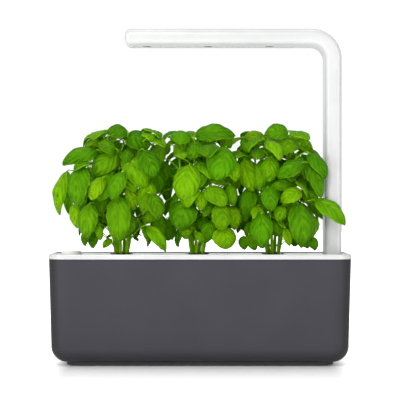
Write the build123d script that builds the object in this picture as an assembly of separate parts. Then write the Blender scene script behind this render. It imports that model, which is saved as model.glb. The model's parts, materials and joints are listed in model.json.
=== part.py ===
from build123d import *

import os
from collections import namedtuple
from math import ceil, cos, hypot, pi, radians, sin, sqrt, tan

import numpy as np

os.makedirs("parts", exist_ok=True)

# A countertop hydroponic garden: a dark casing with a water tank, a white tray on top with three
# plants in cups and a water-level float, and a white lamp on a post that plugs into the casing.
# +X is to the right, +Y to the back and +Z up. The origin is on the standing surface, under the
# middle of the garden.

# Overall size, and where everything stands across the garden
GARDEN_WIDTH = 305.0
GARDEN_DEPTH = 125.0
GARDEN_CORNER = 22.0
PLANT_PITCH = 77.5
PLANT_MIDDLE_X = -2.5
POST_X = 135.4
FLOAT_X = -131.0

# Clearances
SOFT_GAP = 0.3
PIN_GAP = 0.05
SCREW_GAP = 0.15
TANK_GAP = 0.6
HOLE_GAP = 0.6
CUP_GAP = 0.6
# How far a cutting form runs on past the faces that it cuts
CUT = 1.0

# Plinth and feet
FOOT_PROUD = 0.8
FOOT_RADIUS = 7.0
FOOT_THICKNESS = 2.6
FOOT_X = 122.0
FOOT_Y = 34.0
PLINTH_WIDTH = 270.0
PLINTH_DEPTH = 90.0
PLINTH_CORNER = 20.0
PLINTH_THICKNESS = 3.1

# Casing
CASING_HEIGHT = 103.5
CASING_INSET = 0.4
CASING_DRAFT = 1.6
CASING_WALL = 2.4
CASING_BOTTOM_RADIUS = 16.0
LEDGE_DEPTH = 4.0
LEDGE_WALL = 1.2
TANK_BOSS_RADIUS = 4.0
TANK_BOSS_HEIGHT = 5.0
TANK_BOSS_X = 105.0
TANK_BOSS_Y = 36.0
SOCKET_BOSS_RADIUS = 4.5
SOCKET_BOSS_HEIGHT = 15.7

# Water tank
TANK_WALL = 1.8
TANK_RIGHT = 115.7
TANK_FLANGE = 1.8

# Tray
TRAY_HEIGHT = 4.9
TRAY_EDGE_RADIUS = 1.4
TRAY_RIM = 3.5
TRAY_RECESS = 1.0
TRAY_PLATE = 2.0
SKIRT_DEPTH = 1.9
WELL_LEDGE = 3.8
WELL_RING_WALL = 1.8
COLLAR_WALL = 1.8
COLLAR_DEPTH = 21.3
POST_COLLAR_DEPTH = 6.0
POST_COLLAR_WALL = 1.6

# Float and its guide
FLOAT_OPENING_WIDTH = 22.0
FLOAT_OPENING_LENGTH = 54.0
GUIDE_WALL = 1.3
GUIDE_FLANGE = 0.7
GUIDE_FLANGE_THICKNESS = 1.4
GUIDE_DEPTH = 71.0
GUIDE_FLOOR = 1.2
GUIDE_SLOT = 4.0
DIVIDER_Y = 3.0
BRIDGE_THICKNESS = 1.5
FLOAT_CAP_WIDTH = 20.0
FLOAT_CAP_LENGTH = 27.0
FLOAT_CAP_THICKNESS = 4.0
FLOAT_CAP_PROUD = 2.7
FLOAT_CAP_DOME = 1.8
FLOAT_CAP_Y = -12.3
FLOAT_STEM_RADIUS = 2.0
FLOAT_STEM_HELD = 6.0
FLOAT_FOAM_HEIGHT = 16.0
FLOAT_FOAM_TOP_DEPTH = 28.3
FLOAT_FOAM_INSET = 0.3

# Plant cups
CUP_FLANGE_RADIUS = 33.0
CUP_FLANGE = 1.6
CUP_TOP_RADIUS = 28.9
CUP_BOTTOM_RADIUS = 23.0
CUP_DEPTH = 58.0
CUP_WALL = 1.2
CUP_SLOTS = 6
CUP_SLOT_WIDTH = 3.0
CUP_SLOT_HEIGHT = 14.0
LID_THICKNESS = 1.2
LID_HOLE_RADIUS = 13.0
SOIL_CROWN = 1.4
WICK_WIDTH = 12.0
WICK_THICKNESS = 3.0
WICK_FLOOR_GAP = 0.9
CUP_LIFT = 65.0

# Lamp post and lamp: one rounded section, bent into an arm
POST_THICKNESS = 17.0
POST_DEPTH = 52.0
POST_CORNER = 6.5
POST_WALL = 2.0
POST_FOOT_Z = 100.0
SEAM_Z = 244.0
LAMP_TOP_Z = 340.6
LAMP_LEFT_X = -76.6
LAMP_BEND_RADIUS = 21.5
LAMP_END_RADIUS = 6.0

# Socket for the post, contacts and plugs
SOCKET_WALL = 4.0
SOCKET_CORNER = 2.0
SOCKET_SHELF_Z = 56.0
SOCKET_SHELF = 4.0
SOCKET_TAB = 3.0
SOCKET_TAB_WIDTH = 11.0
SOCKET_SCREW_Y = 34.0
CONTACT_Y = 8.0
CONTACT_RADIUS = 2.0
CONTACT_TAIL_RADIUS = 1.0
CONTACT_TAIL = 10.0
CONTACT_FLOOR = 1.0
PIN_RADIUS = 1.25
CARRIER_HEIGHT = 17.7
PIN_REACH = 12.0
PIN_HELD = 6.0
PLUG_HELD = 14.0
WIRE_RADIUS = 0.8
WIRE_HOLE_RADIUS = 1.1
WIRE_BEND = 3.0
LAMP_WIRE_BEND = 18.0

# Control board and power inlet
BOARD_WIDTH = 20.0
BOARD_HEIGHT = 40.0
BOARD_THICKNESS = 1.6
BOARD_LOW_Z = 34.0
BOARD_HOLE_INSET = 3.0
STANDOFF_LENGTH = 3.0
STANDOFF_ROOT = 1.0
STANDOFF_RADIUS = 2.5
WIRE_BLOCK_X = 2.5
WIRE_BLOCK_WIDTH = 4.6
WIRE_BLOCK_DEPTH = 4.0
WIRE_BLOCK_FOOT = 1.0
WIRE_BLOCK_HEIGHT = 5.0
WIRE_OFF_BOARD = 2.0
CAPACITOR_X = -4.0
CAPACITOR_UP = 14.0
CAPACITOR_RADIUS = 2.5
CAPACITOR_LENGTH = 5.0
# Chips on the board: place across and up, then width, height and thickness
BOARD_CHIPS = ((-3.0, 26.0, 6.0, 6.0, 1.4), (4.0, 17.0, 5.0, 6.0, 1.2))
WIRE_PITCH = 2.2
WINDOW_WIDTH = 12.0
WINDOW_LOW_Z = 26.0
WINDOW_HEIGHT = 6.0
INLET_X = 122.5
INLET_Z = 34.0
INLET_BARREL_RADIUS = 3.9
INLET_BORE_RADIUS = 2.8
INLET_BORE_DEPTH = 10.0
INLET_LENGTH = 14.0
INLET_FLANGE_RADIUS = 6.0
INLET_FLANGE = 1.4
INLET_PIN_RADIUS = 1.05
INLET_PAD_RADIUS = 7.0
INLET_PAD_Y = 59.3
NUT_ACROSS_FLATS = 11.0
NUT_THICKNESS = 2.4

# Lamp module
LIGHT_MIDDLE_X = 8.4
LIGHT_PITCH = 62.6
PANEL_LEFT_X = -68.0
PANEL_RIGHT_X = 95.0
PANEL_DEPTH = 36.0
PANEL_THICKNESS = 1.7
PANEL_RECESS = 0.2
PANEL_CORNER = 4.0
PANEL_SCREW_X = (-60.0, 78.0)
PANEL_SCREW_Y = 13.5
PANEL_BOSS_RADIUS = 3.0
SHOULDER_RADIUS = 4.5
LIGHT_HOLE_RADIUS = 4.8
VENT_RADIUS = 1.1
VENT_PITCH = 5.7
VENT_COLUMNS = 7
VENT_ROWS = 3
BEZEL_RADIUS = 4.5
BEZEL_FLANGE_RADIUS = 6.5
BEZEL_FLANGE = 1.0
BEZEL_BODY_RADIUS = 5.5
BEZEL_BORE_RADIUS = 3.7
BEZEL_MOUTH_RADIUS = 4.0
BEZEL_HEIGHT = 5.1
LENS_THICKNESS = 2.8
LENS_DOME = 0.8
CHIP_SIZE = 4.6
CHIP_THICKNESS = 0.9
LED_BOARD_DEPTH = 20.0
LED_BOARD_THICKNESS = 1.2
LED_BOARD_LEFT_X = -66.0
LED_BOARD_RIGHT_X = 90.0
SINK_LEFT_X = -66.0
SINK_RIGHT_X = 84.0
SINK_DEPTH = 35.0
SINK_THICKNESS = 2.5
FIN_HEIGHT = 4.0
FIN_THICKNESS = 1.2
FIN_PITCH = 4.0
FIN_COUNT = 5

# Screws: shank radius, head radius and head height
PLINTH_SCREW = (1.45, 2.75, 1.6)
PLINTH_SCREW_LENGTH = 7.2
SOCKET_SCREW = (1.45, 2.75, 1.8)
SOCKET_SCREW_LENGTH = 12.0
BOARD_SCREW = (1.0, 1.9, 1.3)
BOARD_SCREW_LENGTH = 6.0
PANEL_SCREW = (1.0, 2.0, 1.0)
PANEL_SCREW_LENGTH = 6.0

# Basil
LEAF_THICKNESS = 1.2
LEAF_ARCH = 0.9
LEAF_BREADTH = 1.05
OVATE_POWER = 0.8
OVATE_LEAST = 0.06
LEAF_SPACE = 4.6
NEIGHBOUR_SPACE = 4.5
BUSH_DEPTH = 45.0
BUSH_SIDE = 95.0
BUSH_MIDDLE_HEIGHT = 52.0
BUSH_HALF_HEIGHT = 92.0
BUSH_LEAST = 0.04
OUTWARD_TRIES = 5
STEM_COUNT = 6
STEM_RADIUS = 1.6
STEM_KNOT_RADIUS = 1.9
STEM_FOOT = 6.0
STEM_FOOT_RING = 4.4
STEM_TOP_RING = 16.0
STEM_TURN = 0.25
STEM_SPREAD = 1.4
STEM_LEAN = 0.25
STEM_LEAN_TURN = 3
STEM_HEIGHT = 96.0
STEM_PIECES = 3
STEM_SPACE = 2.6
PETIOLE_RADIUS = 0.8
PETIOLE_KNOT_RADIUS = 0.95
PETIOLE_RISE = 0.65
PETIOLE_LOWEST = 7.3
PETIOLE_PITCH = 2.3
STALK_STEPS = 20
STALK_BLOCKED = 30.0

# Heights that follow from the sizes above
PLINTH_TOP = FOOT_PROUD + PLINTH_THICKNESS
CASING_TOP = PLINTH_TOP + CASING_HEIGHT
CASING_FLOOR = PLINTH_TOP + CASING_WALL
LEDGE_Z = CASING_TOP - LEDGE_DEPTH
TANK_BOTTOM = CASING_FLOOR + TANK_BOSS_HEIGHT
TANK_FLOOR = TANK_BOTTOM + TANK_WALL
SOCKET_FOOT_Z = CASING_FLOOR + SOCKET_BOSS_HEIGHT
TRAY_TOP = CASING_TOP + TRAY_HEIGHT
PLATE_TOP = TRAY_TOP - TRAY_RECESS
PLATE_BOTTOM = PLATE_TOP - TRAY_PLATE
WELL_LEDGE_Z = TRAY_TOP - WELL_LEDGE
CUP_BOTTOM = WELL_LEDGE_Z - CUP_DEPTH
CUP_INSIDE = CUP_BOTTOM + CUP_WALL
CUP_FLANGE_TOP = WELL_LEDGE_Z + CUP_FLANGE
LID_TOP = CUP_FLANGE_TOP + LID_THICKNESS
SOIL_RIM_Z = CUP_FLANGE_TOP - SOFT_GAP
SOIL_TOP = SOIL_RIM_Z + SOIL_CROWN
GUIDE_BOTTOM = PLATE_BOTTOM - GUIDE_DEPTH
FLOAT_CAP_TOP = TRAY_TOP + FLOAT_CAP_PROUD
FLOAT_CAP_LOW = FLOAT_CAP_TOP - FLOAT_CAP_THICKNESS
FOAM_TOP = PLATE_TOP - FLOAT_FOAM_TOP_DEPTH
FOAM_LOW = FOAM_TOP - FLOAT_FOAM_HEIGHT
BASE_CARRIER_TOP = SOCKET_SHELF_Z + CARRIER_HEIGHT
BASE_PLUG_LOW = BASE_CARRIER_TOP + SOFT_GAP
TOP_PLUG_LOW = SEAM_Z - PLUG_HELD
TOP_CARRIER_LOW = TOP_PLUG_LOW - SOFT_GAP - CARRIER_HEIGHT
LAMP_UNDER_Z = LAMP_TOP_Z - POST_THICKNESS
LAMP_MIDDLE_Z = LAMP_TOP_Z - POST_THICKNESS / 2
PANEL_LOW = LAMP_UNDER_Z + PANEL_RECESS
PANEL_TOP = PANEL_LOW + PANEL_THICKNESS
LED_BOARD_LOW = PANEL_LOW + BEZEL_HEIGHT + SCREW_GAP
LED_BOARD_TOP = LED_BOARD_LOW + LED_BOARD_THICKNESS
SINK_TOP = LED_BOARD_TOP + SINK_THICKNESS
LIGHT_X = [LIGHT_MIDDLE_X + side * LIGHT_PITCH for side in (-1, 0, 1)]
BORE_THICKNESS = POST_THICKNESS - 2 * POST_WALL
BORE_DEPTH = POST_DEPTH - 2 * POST_WALL
BORE_CORNER = POST_CORNER - POST_WALL
PLANT_X = {
    "left": PLANT_MIDDLE_X - PLANT_PITCH,
    "middle": PLANT_MIDDLE_X,
    "right": PLANT_MIDDLE_X + PLANT_PITCH,
}


# Plain shapes

def prism(width, depth, corner, low, high, x=0.0, y=0.0):
    """An upright block with a rounded outline, from one height to another."""
    return Pos(x, y, low) * extrude(RectangleRounded(width, depth, corner), high - low)


def block(low, high):
    """A plain block between its lowest and highest corners."""
    size = [b - a for a, b in zip(low, high)]
    middle = [(a + b) / 2 for a, b in zip(low, high)]
    return Pos(*middle) * Box(*size)


def rod(radius, low, high, x=0.0, y=0.0):
    """An upright round rod from one height to another."""
    return Pos(x, y, (low + high) / 2) * Cylinder(radius, high - low)


def stadium(width, length, low, high, x=0.0, y=0.0):
    """An upright block with half-round ends to the front and the back."""
    return Pos(x, y, low) * extrude(Rot(0, 0, 90) * SlotOverall(length, width), high - low)


def screw(kind, length, place):
    """A screw with its head's underside at the place's origin and its shank along +Z."""
    shank, head, head_height = kind
    solid = Pos(0, 0, length / 2) * Cylinder(shank, length)
    solid += Pos(0, 0, -head_height / 2) * Cylinder(head, head_height)
    return place * solid


def wire(points, bend):
    """A round wire through the points, with its corners bent to one radius."""
    path = FilletPolyline(*points, radius=bend) if len(points) > 2 else Line(*points)
    return sweep(Plane(origin=path @ 0, z_dir=path % 0) * Circle(WIRE_RADIUS), path=path)


def save(name, *solids):
    """Write one node's solids to its own file."""
    shape = solids[0] if len(solids) == 1 else Compound(children=list(solids))
    export_step(shape, os.path.join("parts", name + ".step"))


# Base: plinth, casing, tank, post socket, board and inlet

def casing_inset(z):
    """How far the casing's outer face lies inside the tray's outline at a height."""
    return CASING_INSET + (CASING_TOP - z) * tan(radians(CASING_DRAFT))


def casing_form(wall, low, high, bottom_radius):
    """The casing's tapered form, taken in by a wall, with a rounded bottom edge."""
    outlines = []
    for z in (low, high):
        inset = casing_inset(z) + wall
        outlines.append(
            Pos(0, 0, z)
            * RectangleRounded(
                GARDEN_WIDTH - 2 * inset, GARDEN_DEPTH - 2 * inset, GARDEN_CORNER - inset
            )
        )
    form = loft(outlines, ruled=True)
    return fillet(form.faces().sort_by(Axis.Z)[0].edges(), bottom_radius)


def tank_boss_places():
    """Where the casing's floor carries the tank and takes the plinth's screws."""
    return [(x, y) for x in (-TANK_BOSS_X, 0.0, TANK_BOSS_X) for y in (-TANK_BOSS_Y, TANK_BOSS_Y)]


def socket_screw_places():
    """Where the post's socket is screwed down."""
    return [(POST_X, -SOCKET_SCREW_Y), (POST_X, SOCKET_SCREW_Y)]


def inlet_place():
    """The power inlet's axis, pointing out of the back wall from the pad's outer face."""
    return Plane(origin=(INLET_X, INLET_PAD_Y, INLET_Z), x_dir=(1, 0, 0), z_dir=(0, 1, 0))


def make_casing():
    solid = casing_form(0, PLINTH_TOP, CASING_TOP, CASING_BOTTOM_RADIUS)
    solid -= casing_form(CASING_WALL, CASING_FLOOR, CASING_TOP + CUT, CASING_BOTTOM_RADIUS - CASING_WALL)
    ledge = CASING_INSET + LEDGE_WALL
    solid -= prism(
        GARDEN_WIDTH - 2 * ledge, GARDEN_DEPTH - 2 * ledge, GARDEN_CORNER - ledge,
        LEDGE_Z, CASING_TOP + CUT,
    )
    for x, y in tank_boss_places():
        solid += rod(TANK_BOSS_RADIUS, CASING_FLOOR - CUT, TANK_BOTTOM, x, y)
        top = TANK_BOTTOM - PLINTH_SCREW[2]
        solid -= rod(PLINTH_SCREW[0] + PIN_GAP, PLINTH_TOP - CUT, top, x, y)
    for x, y in socket_screw_places():
        solid += rod(SOCKET_BOSS_RADIUS, CASING_FLOOR - CUT, SOCKET_FOOT_Z, x, y)
        low = SOCKET_FOOT_Z + SOCKET_TAB - SOCKET_SCREW_LENGTH - CUT
        solid -= rod(SOCKET_SCREW[0] + PIN_GAP, low, SOCKET_FOOT_Z + CUT, x, y)
    pad = Pos(0, 0, -CASING_WALL / 2) * Cylinder(INLET_PAD_RADIUS, CASING_WALL)
    solid += inlet_place() * pad
    recess = Pos(0, 0, CASING_WALL / 2) * Cylinder(INLET_PAD_RADIUS, CASING_WALL)
    solid -= inlet_place() * recess
    solid -= inlet_place() * Cylinder(INLET_BARREL_RADIUS + SCREW_GAP, 4 * CASING_WALL)
    return solid


def make_plinth():
    solid = prism(PLINTH_WIDTH, PLINTH_DEPTH, PLINTH_CORNER, FOOT_PROUD, PLINTH_TOP)
    for x in (-FOOT_X, FOOT_X):
        for y in (-FOOT_Y, FOOT_Y):
            solid -= rod(FOOT_RADIUS + SCREW_GAP, 0, FOOT_THICKNESS, x, y)
    shank, head, head_height = PLINTH_SCREW
    for x, y in tank_boss_places():
        solid -= rod(head + SCREW_GAP, 0, FOOT_PROUD + head_height, x, y)
        solid -= rod(shank + SCREW_GAP, 0, PLINTH_TOP + CUT, x, y)
    return solid


def make_plinth_screws():
    z = FOOT_PROUD + PLINTH_SCREW[2]
    return [screw(PLINTH_SCREW, PLINTH_SCREW_LENGTH, Pos(x, y, z)) for x, y in tank_boss_places()]


def make_feet():
    feet = []
    for x in (-FOOT_X, FOOT_X):
        for y in (-FOOT_Y, FOOT_Y):
            feet.append(rod(FOOT_RADIUS, 0, FOOT_THICKNESS, x, y))
    return feet


def make_tank():
    far = GARDEN_WIDTH
    wall = CASING_WALL + TANK_GAP
    radius = CASING_BOTTOM_RADIUS - wall
    left_of_bay = block((-far, -far, 0), (TANK_RIGHT, far, far))
    inside_bay = block((-far, -far, 0), (TANK_RIGHT - TANK_WALL, far, far))
    solid = casing_form(wall, TANK_BOTTOM, LEDGE_Z + TANK_FLANGE, radius)
    lip = CASING_INSET + LEDGE_WALL + SOFT_GAP
    solid += prism(
        GARDEN_WIDTH - 2 * lip, GARDEN_DEPTH - 2 * lip, GARDEN_CORNER - lip,
        LEDGE_Z, LEDGE_Z + TANK_FLANGE,
    )
    solid &= left_of_bay
    hollow = casing_form(wall + TANK_WALL, TANK_FLOOR, CASING_TOP, radius - TANK_WALL)
    return solid - (hollow & inside_bay)


def make_socket():
    thickness = BORE_THICKNESS + 2 * SOCKET_WALL
    depth = BORE_DEPTH + 2 * SOCKET_WALL
    solid = prism(thickness, depth, SOCKET_CORNER, SOCKET_FOOT_Z, POST_FOOT_Z, POST_X)
    solid += prism(
        SOCKET_TAB_WIDTH, 2 * SOCKET_SCREW_Y + SOCKET_TAB_WIDTH, SOCKET_TAB_WIDTH / 2 - SCREW_GAP,
        SOCKET_FOOT_Z, SOCKET_FOOT_Z + SOCKET_TAB, POST_X,
    )
    solid -= prism(BORE_THICKNESS, BORE_DEPTH, BORE_CORNER, SOCKET_SHELF_Z, POST_FOOT_Z + CUT, POST_X)
    solid -= prism(
        BORE_THICKNESS, BORE_DEPTH, BORE_CORNER,
        SOCKET_FOOT_Z - CUT, SOCKET_SHELF_Z - SOCKET_SHELF, POST_X,
    )
    for y in (-CONTACT_Y, CONTACT_Y):
        solid -= rod(CONTACT_TAIL_RADIUS + SOFT_GAP, SOCKET_SHELF_Z - SOCKET_SHELF - CUT,
                     SOCKET_SHELF_Z + CUT, POST_X, y)
    for x, y in socket_screw_places():
        solid -= rod(SOCKET_SCREW[0] + SCREW_GAP, SOCKET_FOOT_Z - CUT, SOCKET_FOOT_Z + SOCKET_TAB + CUT, x, y)
    front = -depth / 2
    for place in board_hole_places():
        length = STANDOFF_LENGTH + STANDOFF_ROOT
        solid += place * (Pos(0, 0, -length / 2) * Cylinder(STANDOFF_RADIUS, length))
        held = BOARD_SCREW_LENGTH - BOARD_THICKNESS
        solid -= place * (Pos(0, 0, -held / 2) * Cylinder(BOARD_SCREW[0] + PIN_GAP, held + PIN_GAP))
    solid -= block(
        (POST_X - WINDOW_WIDTH / 2, front - CUT, WINDOW_LOW_Z),
        (POST_X + WINDOW_WIDTH / 2, front + SOCKET_WALL + BORE_CORNER, WINDOW_LOW_Z + WINDOW_HEIGHT),
    )
    return solid


def board_back_y():
    """Where the control board's back lies, on the standoffs of the socket's front."""
    return -(BORE_DEPTH / 2 + SOCKET_WALL) - STANDOFF_LENGTH


def board_hole_places():
    """The control board's four fixings, with +Z out of the socket's front."""
    across = BOARD_WIDTH / 2 - BOARD_HOLE_INSET
    heights = (BOARD_LOW_Z + BOARD_HOLE_INSET, BOARD_LOW_Z + BOARD_HEIGHT - BOARD_HOLE_INSET)
    return [
        Plane(origin=(POST_X + side * across, board_back_y(), z), x_dir=(1, 0, 0), z_dir=(0, -1, 0))
        for side in (-1, 1)
        for z in heights
    ]


def make_socket_screws():
    z = SOCKET_FOOT_Z + SOCKET_TAB
    return [
        screw(SOCKET_SCREW, SOCKET_SCREW_LENGTH, Pos(x, y, z) * Rot(180, 0, 0))
        for x, y in socket_screw_places()
    ]


def make_contact_carrier(low):
    """A moulded block in the post's bore, with a hole for each contact."""
    high = low + CARRIER_HEIGHT
    gap = SOFT_GAP
    solid = prism(
        BORE_THICKNESS - 2 * gap, BORE_DEPTH - 2 * gap, BORE_CORNER - gap, low, high, POST_X
    )
    for y in (-CONTACT_Y, CONTACT_Y):
        solid -= rod(CONTACT_RADIUS + PIN_GAP, low + CONTACT_RADIUS, high + CUT, POST_X, y)
        solid -= rod(CONTACT_TAIL_RADIUS + SOFT_GAP, low - CUT, high, POST_X, y)
    return solid


def tail_low(carrier_low):
    """The lower end of the contacts' tails, where their wires start."""
    return carrier_low + CONTACT_RADIUS - CONTACT_TAIL


def make_contacts(carrier_low):
    """Brass sleeves that take the pins, each closed below and ending in a tail."""
    low = carrier_low + CONTACT_RADIUS
    high = carrier_low + CARRIER_HEIGHT - SOFT_GAP
    contacts = []
    for y in (-CONTACT_Y, CONTACT_Y):
        solid = rod(CONTACT_RADIUS, low, high, POST_X, y)
        solid -= rod(PIN_RADIUS + PIN_GAP, low + CONTACT_FLOOR, high + CUT, POST_X, y)
        solid += rod(CONTACT_TAIL_RADIUS, tail_low(carrier_low), low + CONTACT_FLOOR / 2, POST_X, y)
        contacts.append(solid)
    return contacts


def make_plug(low, high):
    """A plug's moulded body in the post's bore, with holes for its pins and wires."""
    gap = SOFT_GAP
    solid = prism(
        BORE_THICKNESS - 2 * gap, BORE_DEPTH - 2 * gap, BORE_CORNER - gap, low, high, POST_X
    )
    for y in (-CONTACT_Y, CONTACT_Y):
        solid -= rod(PIN_RADIUS + PIN_GAP, low - CUT, low + PIN_HELD, POST_X, y)
        solid -= rod(WIRE_HOLE_RADIUS, low, high + CUT, POST_X, y)
    return solid


def make_pins(plug_low):
    """Brass pins that stand out of a plug's lower end."""
    low, high = plug_low - PIN_REACH, plug_low + PIN_HELD
    return [rod(PIN_RADIUS, low, high, POST_X, y) for y in (-CONTACT_Y, CONTACT_Y)]


def make_board():
    back = board_back_y()
    solid = block(
        (POST_X - BOARD_WIDTH / 2, back - BOARD_THICKNESS, BOARD_LOW_Z),
        (POST_X + BOARD_WIDTH / 2, back, BOARD_LOW_Z + BOARD_HEIGHT),
    )
    for place in board_hole_places():
        solid -= place * Cylinder(BOARD_SCREW[0] + SCREW_GAP, 4 * BOARD_THICKNESS)
    return solid


def make_board_screws():
    screws = []
    for place in board_hole_places():
        turned = Pos(0, 0, BOARD_THICKNESS) * Rot(180, 0, 0)
        screws.append(screw(BOARD_SCREW, BOARD_SCREW_LENGTH - PIN_GAP, place.location * turned))
    return screws


def make_board_chips():
    """Parts on the board's front: two chips, a capacitor and the two wire blocks."""
    face = board_back_y() - BOARD_THICKNESS
    parts = []
    for across, up, width, height, deep in BOARD_CHIPS:
        low = (POST_X + across - width / 2, face - deep, BOARD_LOW_Z + up - height / 2)
        high = (POST_X + across + width / 2, face, BOARD_LOW_Z + up + height / 2)
        parts.append(block(low, high))
    capacitor = Plane(
        origin=(POST_X + CAPACITOR_X, face, BOARD_LOW_Z + CAPACITOR_UP),
        x_dir=(1, 0, 0), z_dir=(0, -1, 0),
    )
    can = Pos(0, 0, CAPACITOR_LENGTH / 2) * Cylinder(CAPACITOR_RADIUS, CAPACITOR_LENGTH)
    parts.append(capacitor * can)
    foot = BOARD_LOW_Z + WIRE_BLOCK_FOOT
    for side in (-1, 1):
        x = POST_X + side * WIRE_BLOCK_X
        low = (x - WIRE_BLOCK_WIDTH / 2, face - WIRE_BLOCK_DEPTH, foot)
        high = (x + WIRE_BLOCK_WIDTH / 2, face, foot + WIRE_BLOCK_HEIGHT)
        parts.append(block(low, high))
    return parts


def make_inlet():
    """A panel jack: a flange outside, a bored barrel through the wall and a closed back."""
    solid = Pos(0, 0, INLET_FLANGE / 2) * Cylinder(INLET_FLANGE_RADIUS, INLET_FLANGE)
    middle = (INLET_FLANGE - INLET_LENGTH) / 2
    solid += Pos(0, 0, middle) * Cylinder(INLET_BARREL_RADIUS, INLET_LENGTH + INLET_FLANGE)
    bore = Pos(0, 0, INLET_FLANGE - INLET_BORE_DEPTH / 2) * Cylinder(INLET_BORE_RADIUS, INLET_BORE_DEPTH)
    return inlet_place() * (solid - bore)


def make_inlet_pin():
    length = INLET_BORE_DEPTH - INLET_FLANGE
    place = Pos(0, 0, INLET_FLANGE - INLET_BORE_DEPTH + length / 2)
    return inlet_place() * (place * Cylinder(INLET_PIN_RADIUS, length))


def make_inlet_nut():
    hexagon = RegularPolygon(NUT_ACROSS_FLATS / 2, 6, major_radius=False)
    solid = extrude(hexagon - Circle(INLET_BARREL_RADIUS + PIN_GAP), NUT_THICKNESS)
    return inlet_place() * (Pos(0, 0, -CASING_WALL - NUT_THICKNESS) * solid)


def make_base_wires():
    """Inlet to board round the socket's left side, and contacts to board through its window."""
    face = board_back_y() - BOARD_THICKNESS
    terminal_y = INLET_PAD_Y - INLET_LENGTH
    side_x = (TANK_RIGHT + POST_X - BORE_THICKNESS / 2 - SOCKET_WALL) / 2
    block_low = BOARD_LOW_Z + WIRE_BLOCK_FOOT
    wire_y = face - WIRE_OFF_BOARD
    under_z = INLET_Z - 2 * WIRE_BEND
    wires = []
    for side in (-1, 1):
        block_x = POST_X - WIRE_BLOCK_X + side * WIRE_PITCH / 2
        run_x = side_x + side * WIRE_PITCH / 2
        start_x = INLET_X + side * WIRE_PITCH / 2
        run_y = wire_y - WIRE_BEND
        wires.append(wire([
            (start_x, terminal_y, INLET_Z),
            (start_x, terminal_y - 2 * WIRE_BEND, INLET_Z),
            (run_x, terminal_y - 5 * WIRE_BEND, under_z),
            (run_x, run_y - side, under_z),
            (block_x, run_y - side, block_low - 2 * WIRE_BEND),
            (block_x, wire_y, block_low - 4 * WIRE_BEND / 3),
            (block_x, wire_y, block_low),
        ], WIRE_BEND / 2))
        tail = tail_low(SOCKET_SHELF_Z)
        out_x = POST_X + WIRE_BLOCK_X + side * WIRE_PITCH / 2
        turn_z = WINDOW_LOW_Z + WINDOW_HEIGHT / 2
        wires.append(wire([
            (POST_X, side * CONTACT_Y, tail),
            (POST_X, side * CONTACT_Y, tail - 2 * WIRE_BEND),
            (out_x, side * CONTACT_Y - 2 * WIRE_BEND, turn_z),
            (out_x, wire_y, turn_z),
            (out_x, wire_y, block_low),
        ], WIRE_BEND / 2))
    return wires


# Tray, with the float's guide

def make_tray():
    inner_width = GARDEN_WIDTH - 2 * TRAY_RIM
    inner_depth = GARDEN_DEPTH - 2 * TRAY_RIM
    inner_corner = GARDEN_CORNER - TRAY_RIM
    solid = prism(GARDEN_WIDTH, GARDEN_DEPTH, GARDEN_CORNER, CASING_TOP, TRAY_TOP)
    solid = fillet(solid.faces().sort_by(Axis.Z)[-1].edges(), TRAY_EDGE_RADIUS)
    skirt = CASING_INSET + LEDGE_WALL + SOFT_GAP
    solid += prism(
        GARDEN_WIDTH - 2 * skirt, GARDEN_DEPTH - 2 * skirt, GARDEN_CORNER - skirt,
        CASING_TOP - SKIRT_DEPTH, CASING_TOP,
    )
    solid -= prism(inner_width, inner_depth, inner_corner, CASING_TOP - SKIRT_DEPTH, PLATE_BOTTOM)
    solid -= prism(inner_width, inner_depth, inner_corner, PLATE_TOP, TRAY_TOP + CUT)
    hole = CUP_TOP_RADIUS + CUP_GAP
    seat = CUP_FLANGE_RADIUS + SOFT_GAP
    ring_low = WELL_LEDGE_Z - COLLAR_WALL
    for x in PLANT_X.values():
        solid += rod(seat + WELL_RING_WALL, ring_low, PLATE_BOTTOM, x)
        solid += rod(hole + COLLAR_WALL, PLATE_BOTTOM - COLLAR_DEPTH, ring_low, x)
        solid -= rod(hole, PLATE_BOTTOM - COLLAR_DEPTH, PLATE_TOP, x)
        solid -= rod(seat, WELL_LEDGE_Z, PLATE_TOP, x)
    solid -= stadium(FLOAT_OPENING_WIDTH, FLOAT_OPENING_LENGTH, PLATE_BOTTOM, PLATE_TOP, FLOAT_X)
    gap = 2 * HOLE_GAP
    wall = 2 * POST_COLLAR_WALL + gap
    solid += prism(
        POST_THICKNESS + wall, POST_DEPTH + wall, POST_CORNER + wall / 2,
        PLATE_BOTTOM - POST_COLLAR_DEPTH, PLATE_BOTTOM, POST_X,
    )
    solid -= prism(
        POST_THICKNESS + gap, POST_DEPTH + gap, POST_CORNER + gap / 2,
        PLATE_BOTTOM - POST_COLLAR_DEPTH, PLATE_TOP, POST_X,
    )
    return solid


def guide_tube(grow, low, high):
    """The float opening's outline, grown all round, between two heights."""
    return stadium(
        FLOAT_OPENING_WIDTH + 2 * grow, FLOAT_OPENING_LENGTH + 2 * grow, low, high, FLOAT_X
    )


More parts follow.
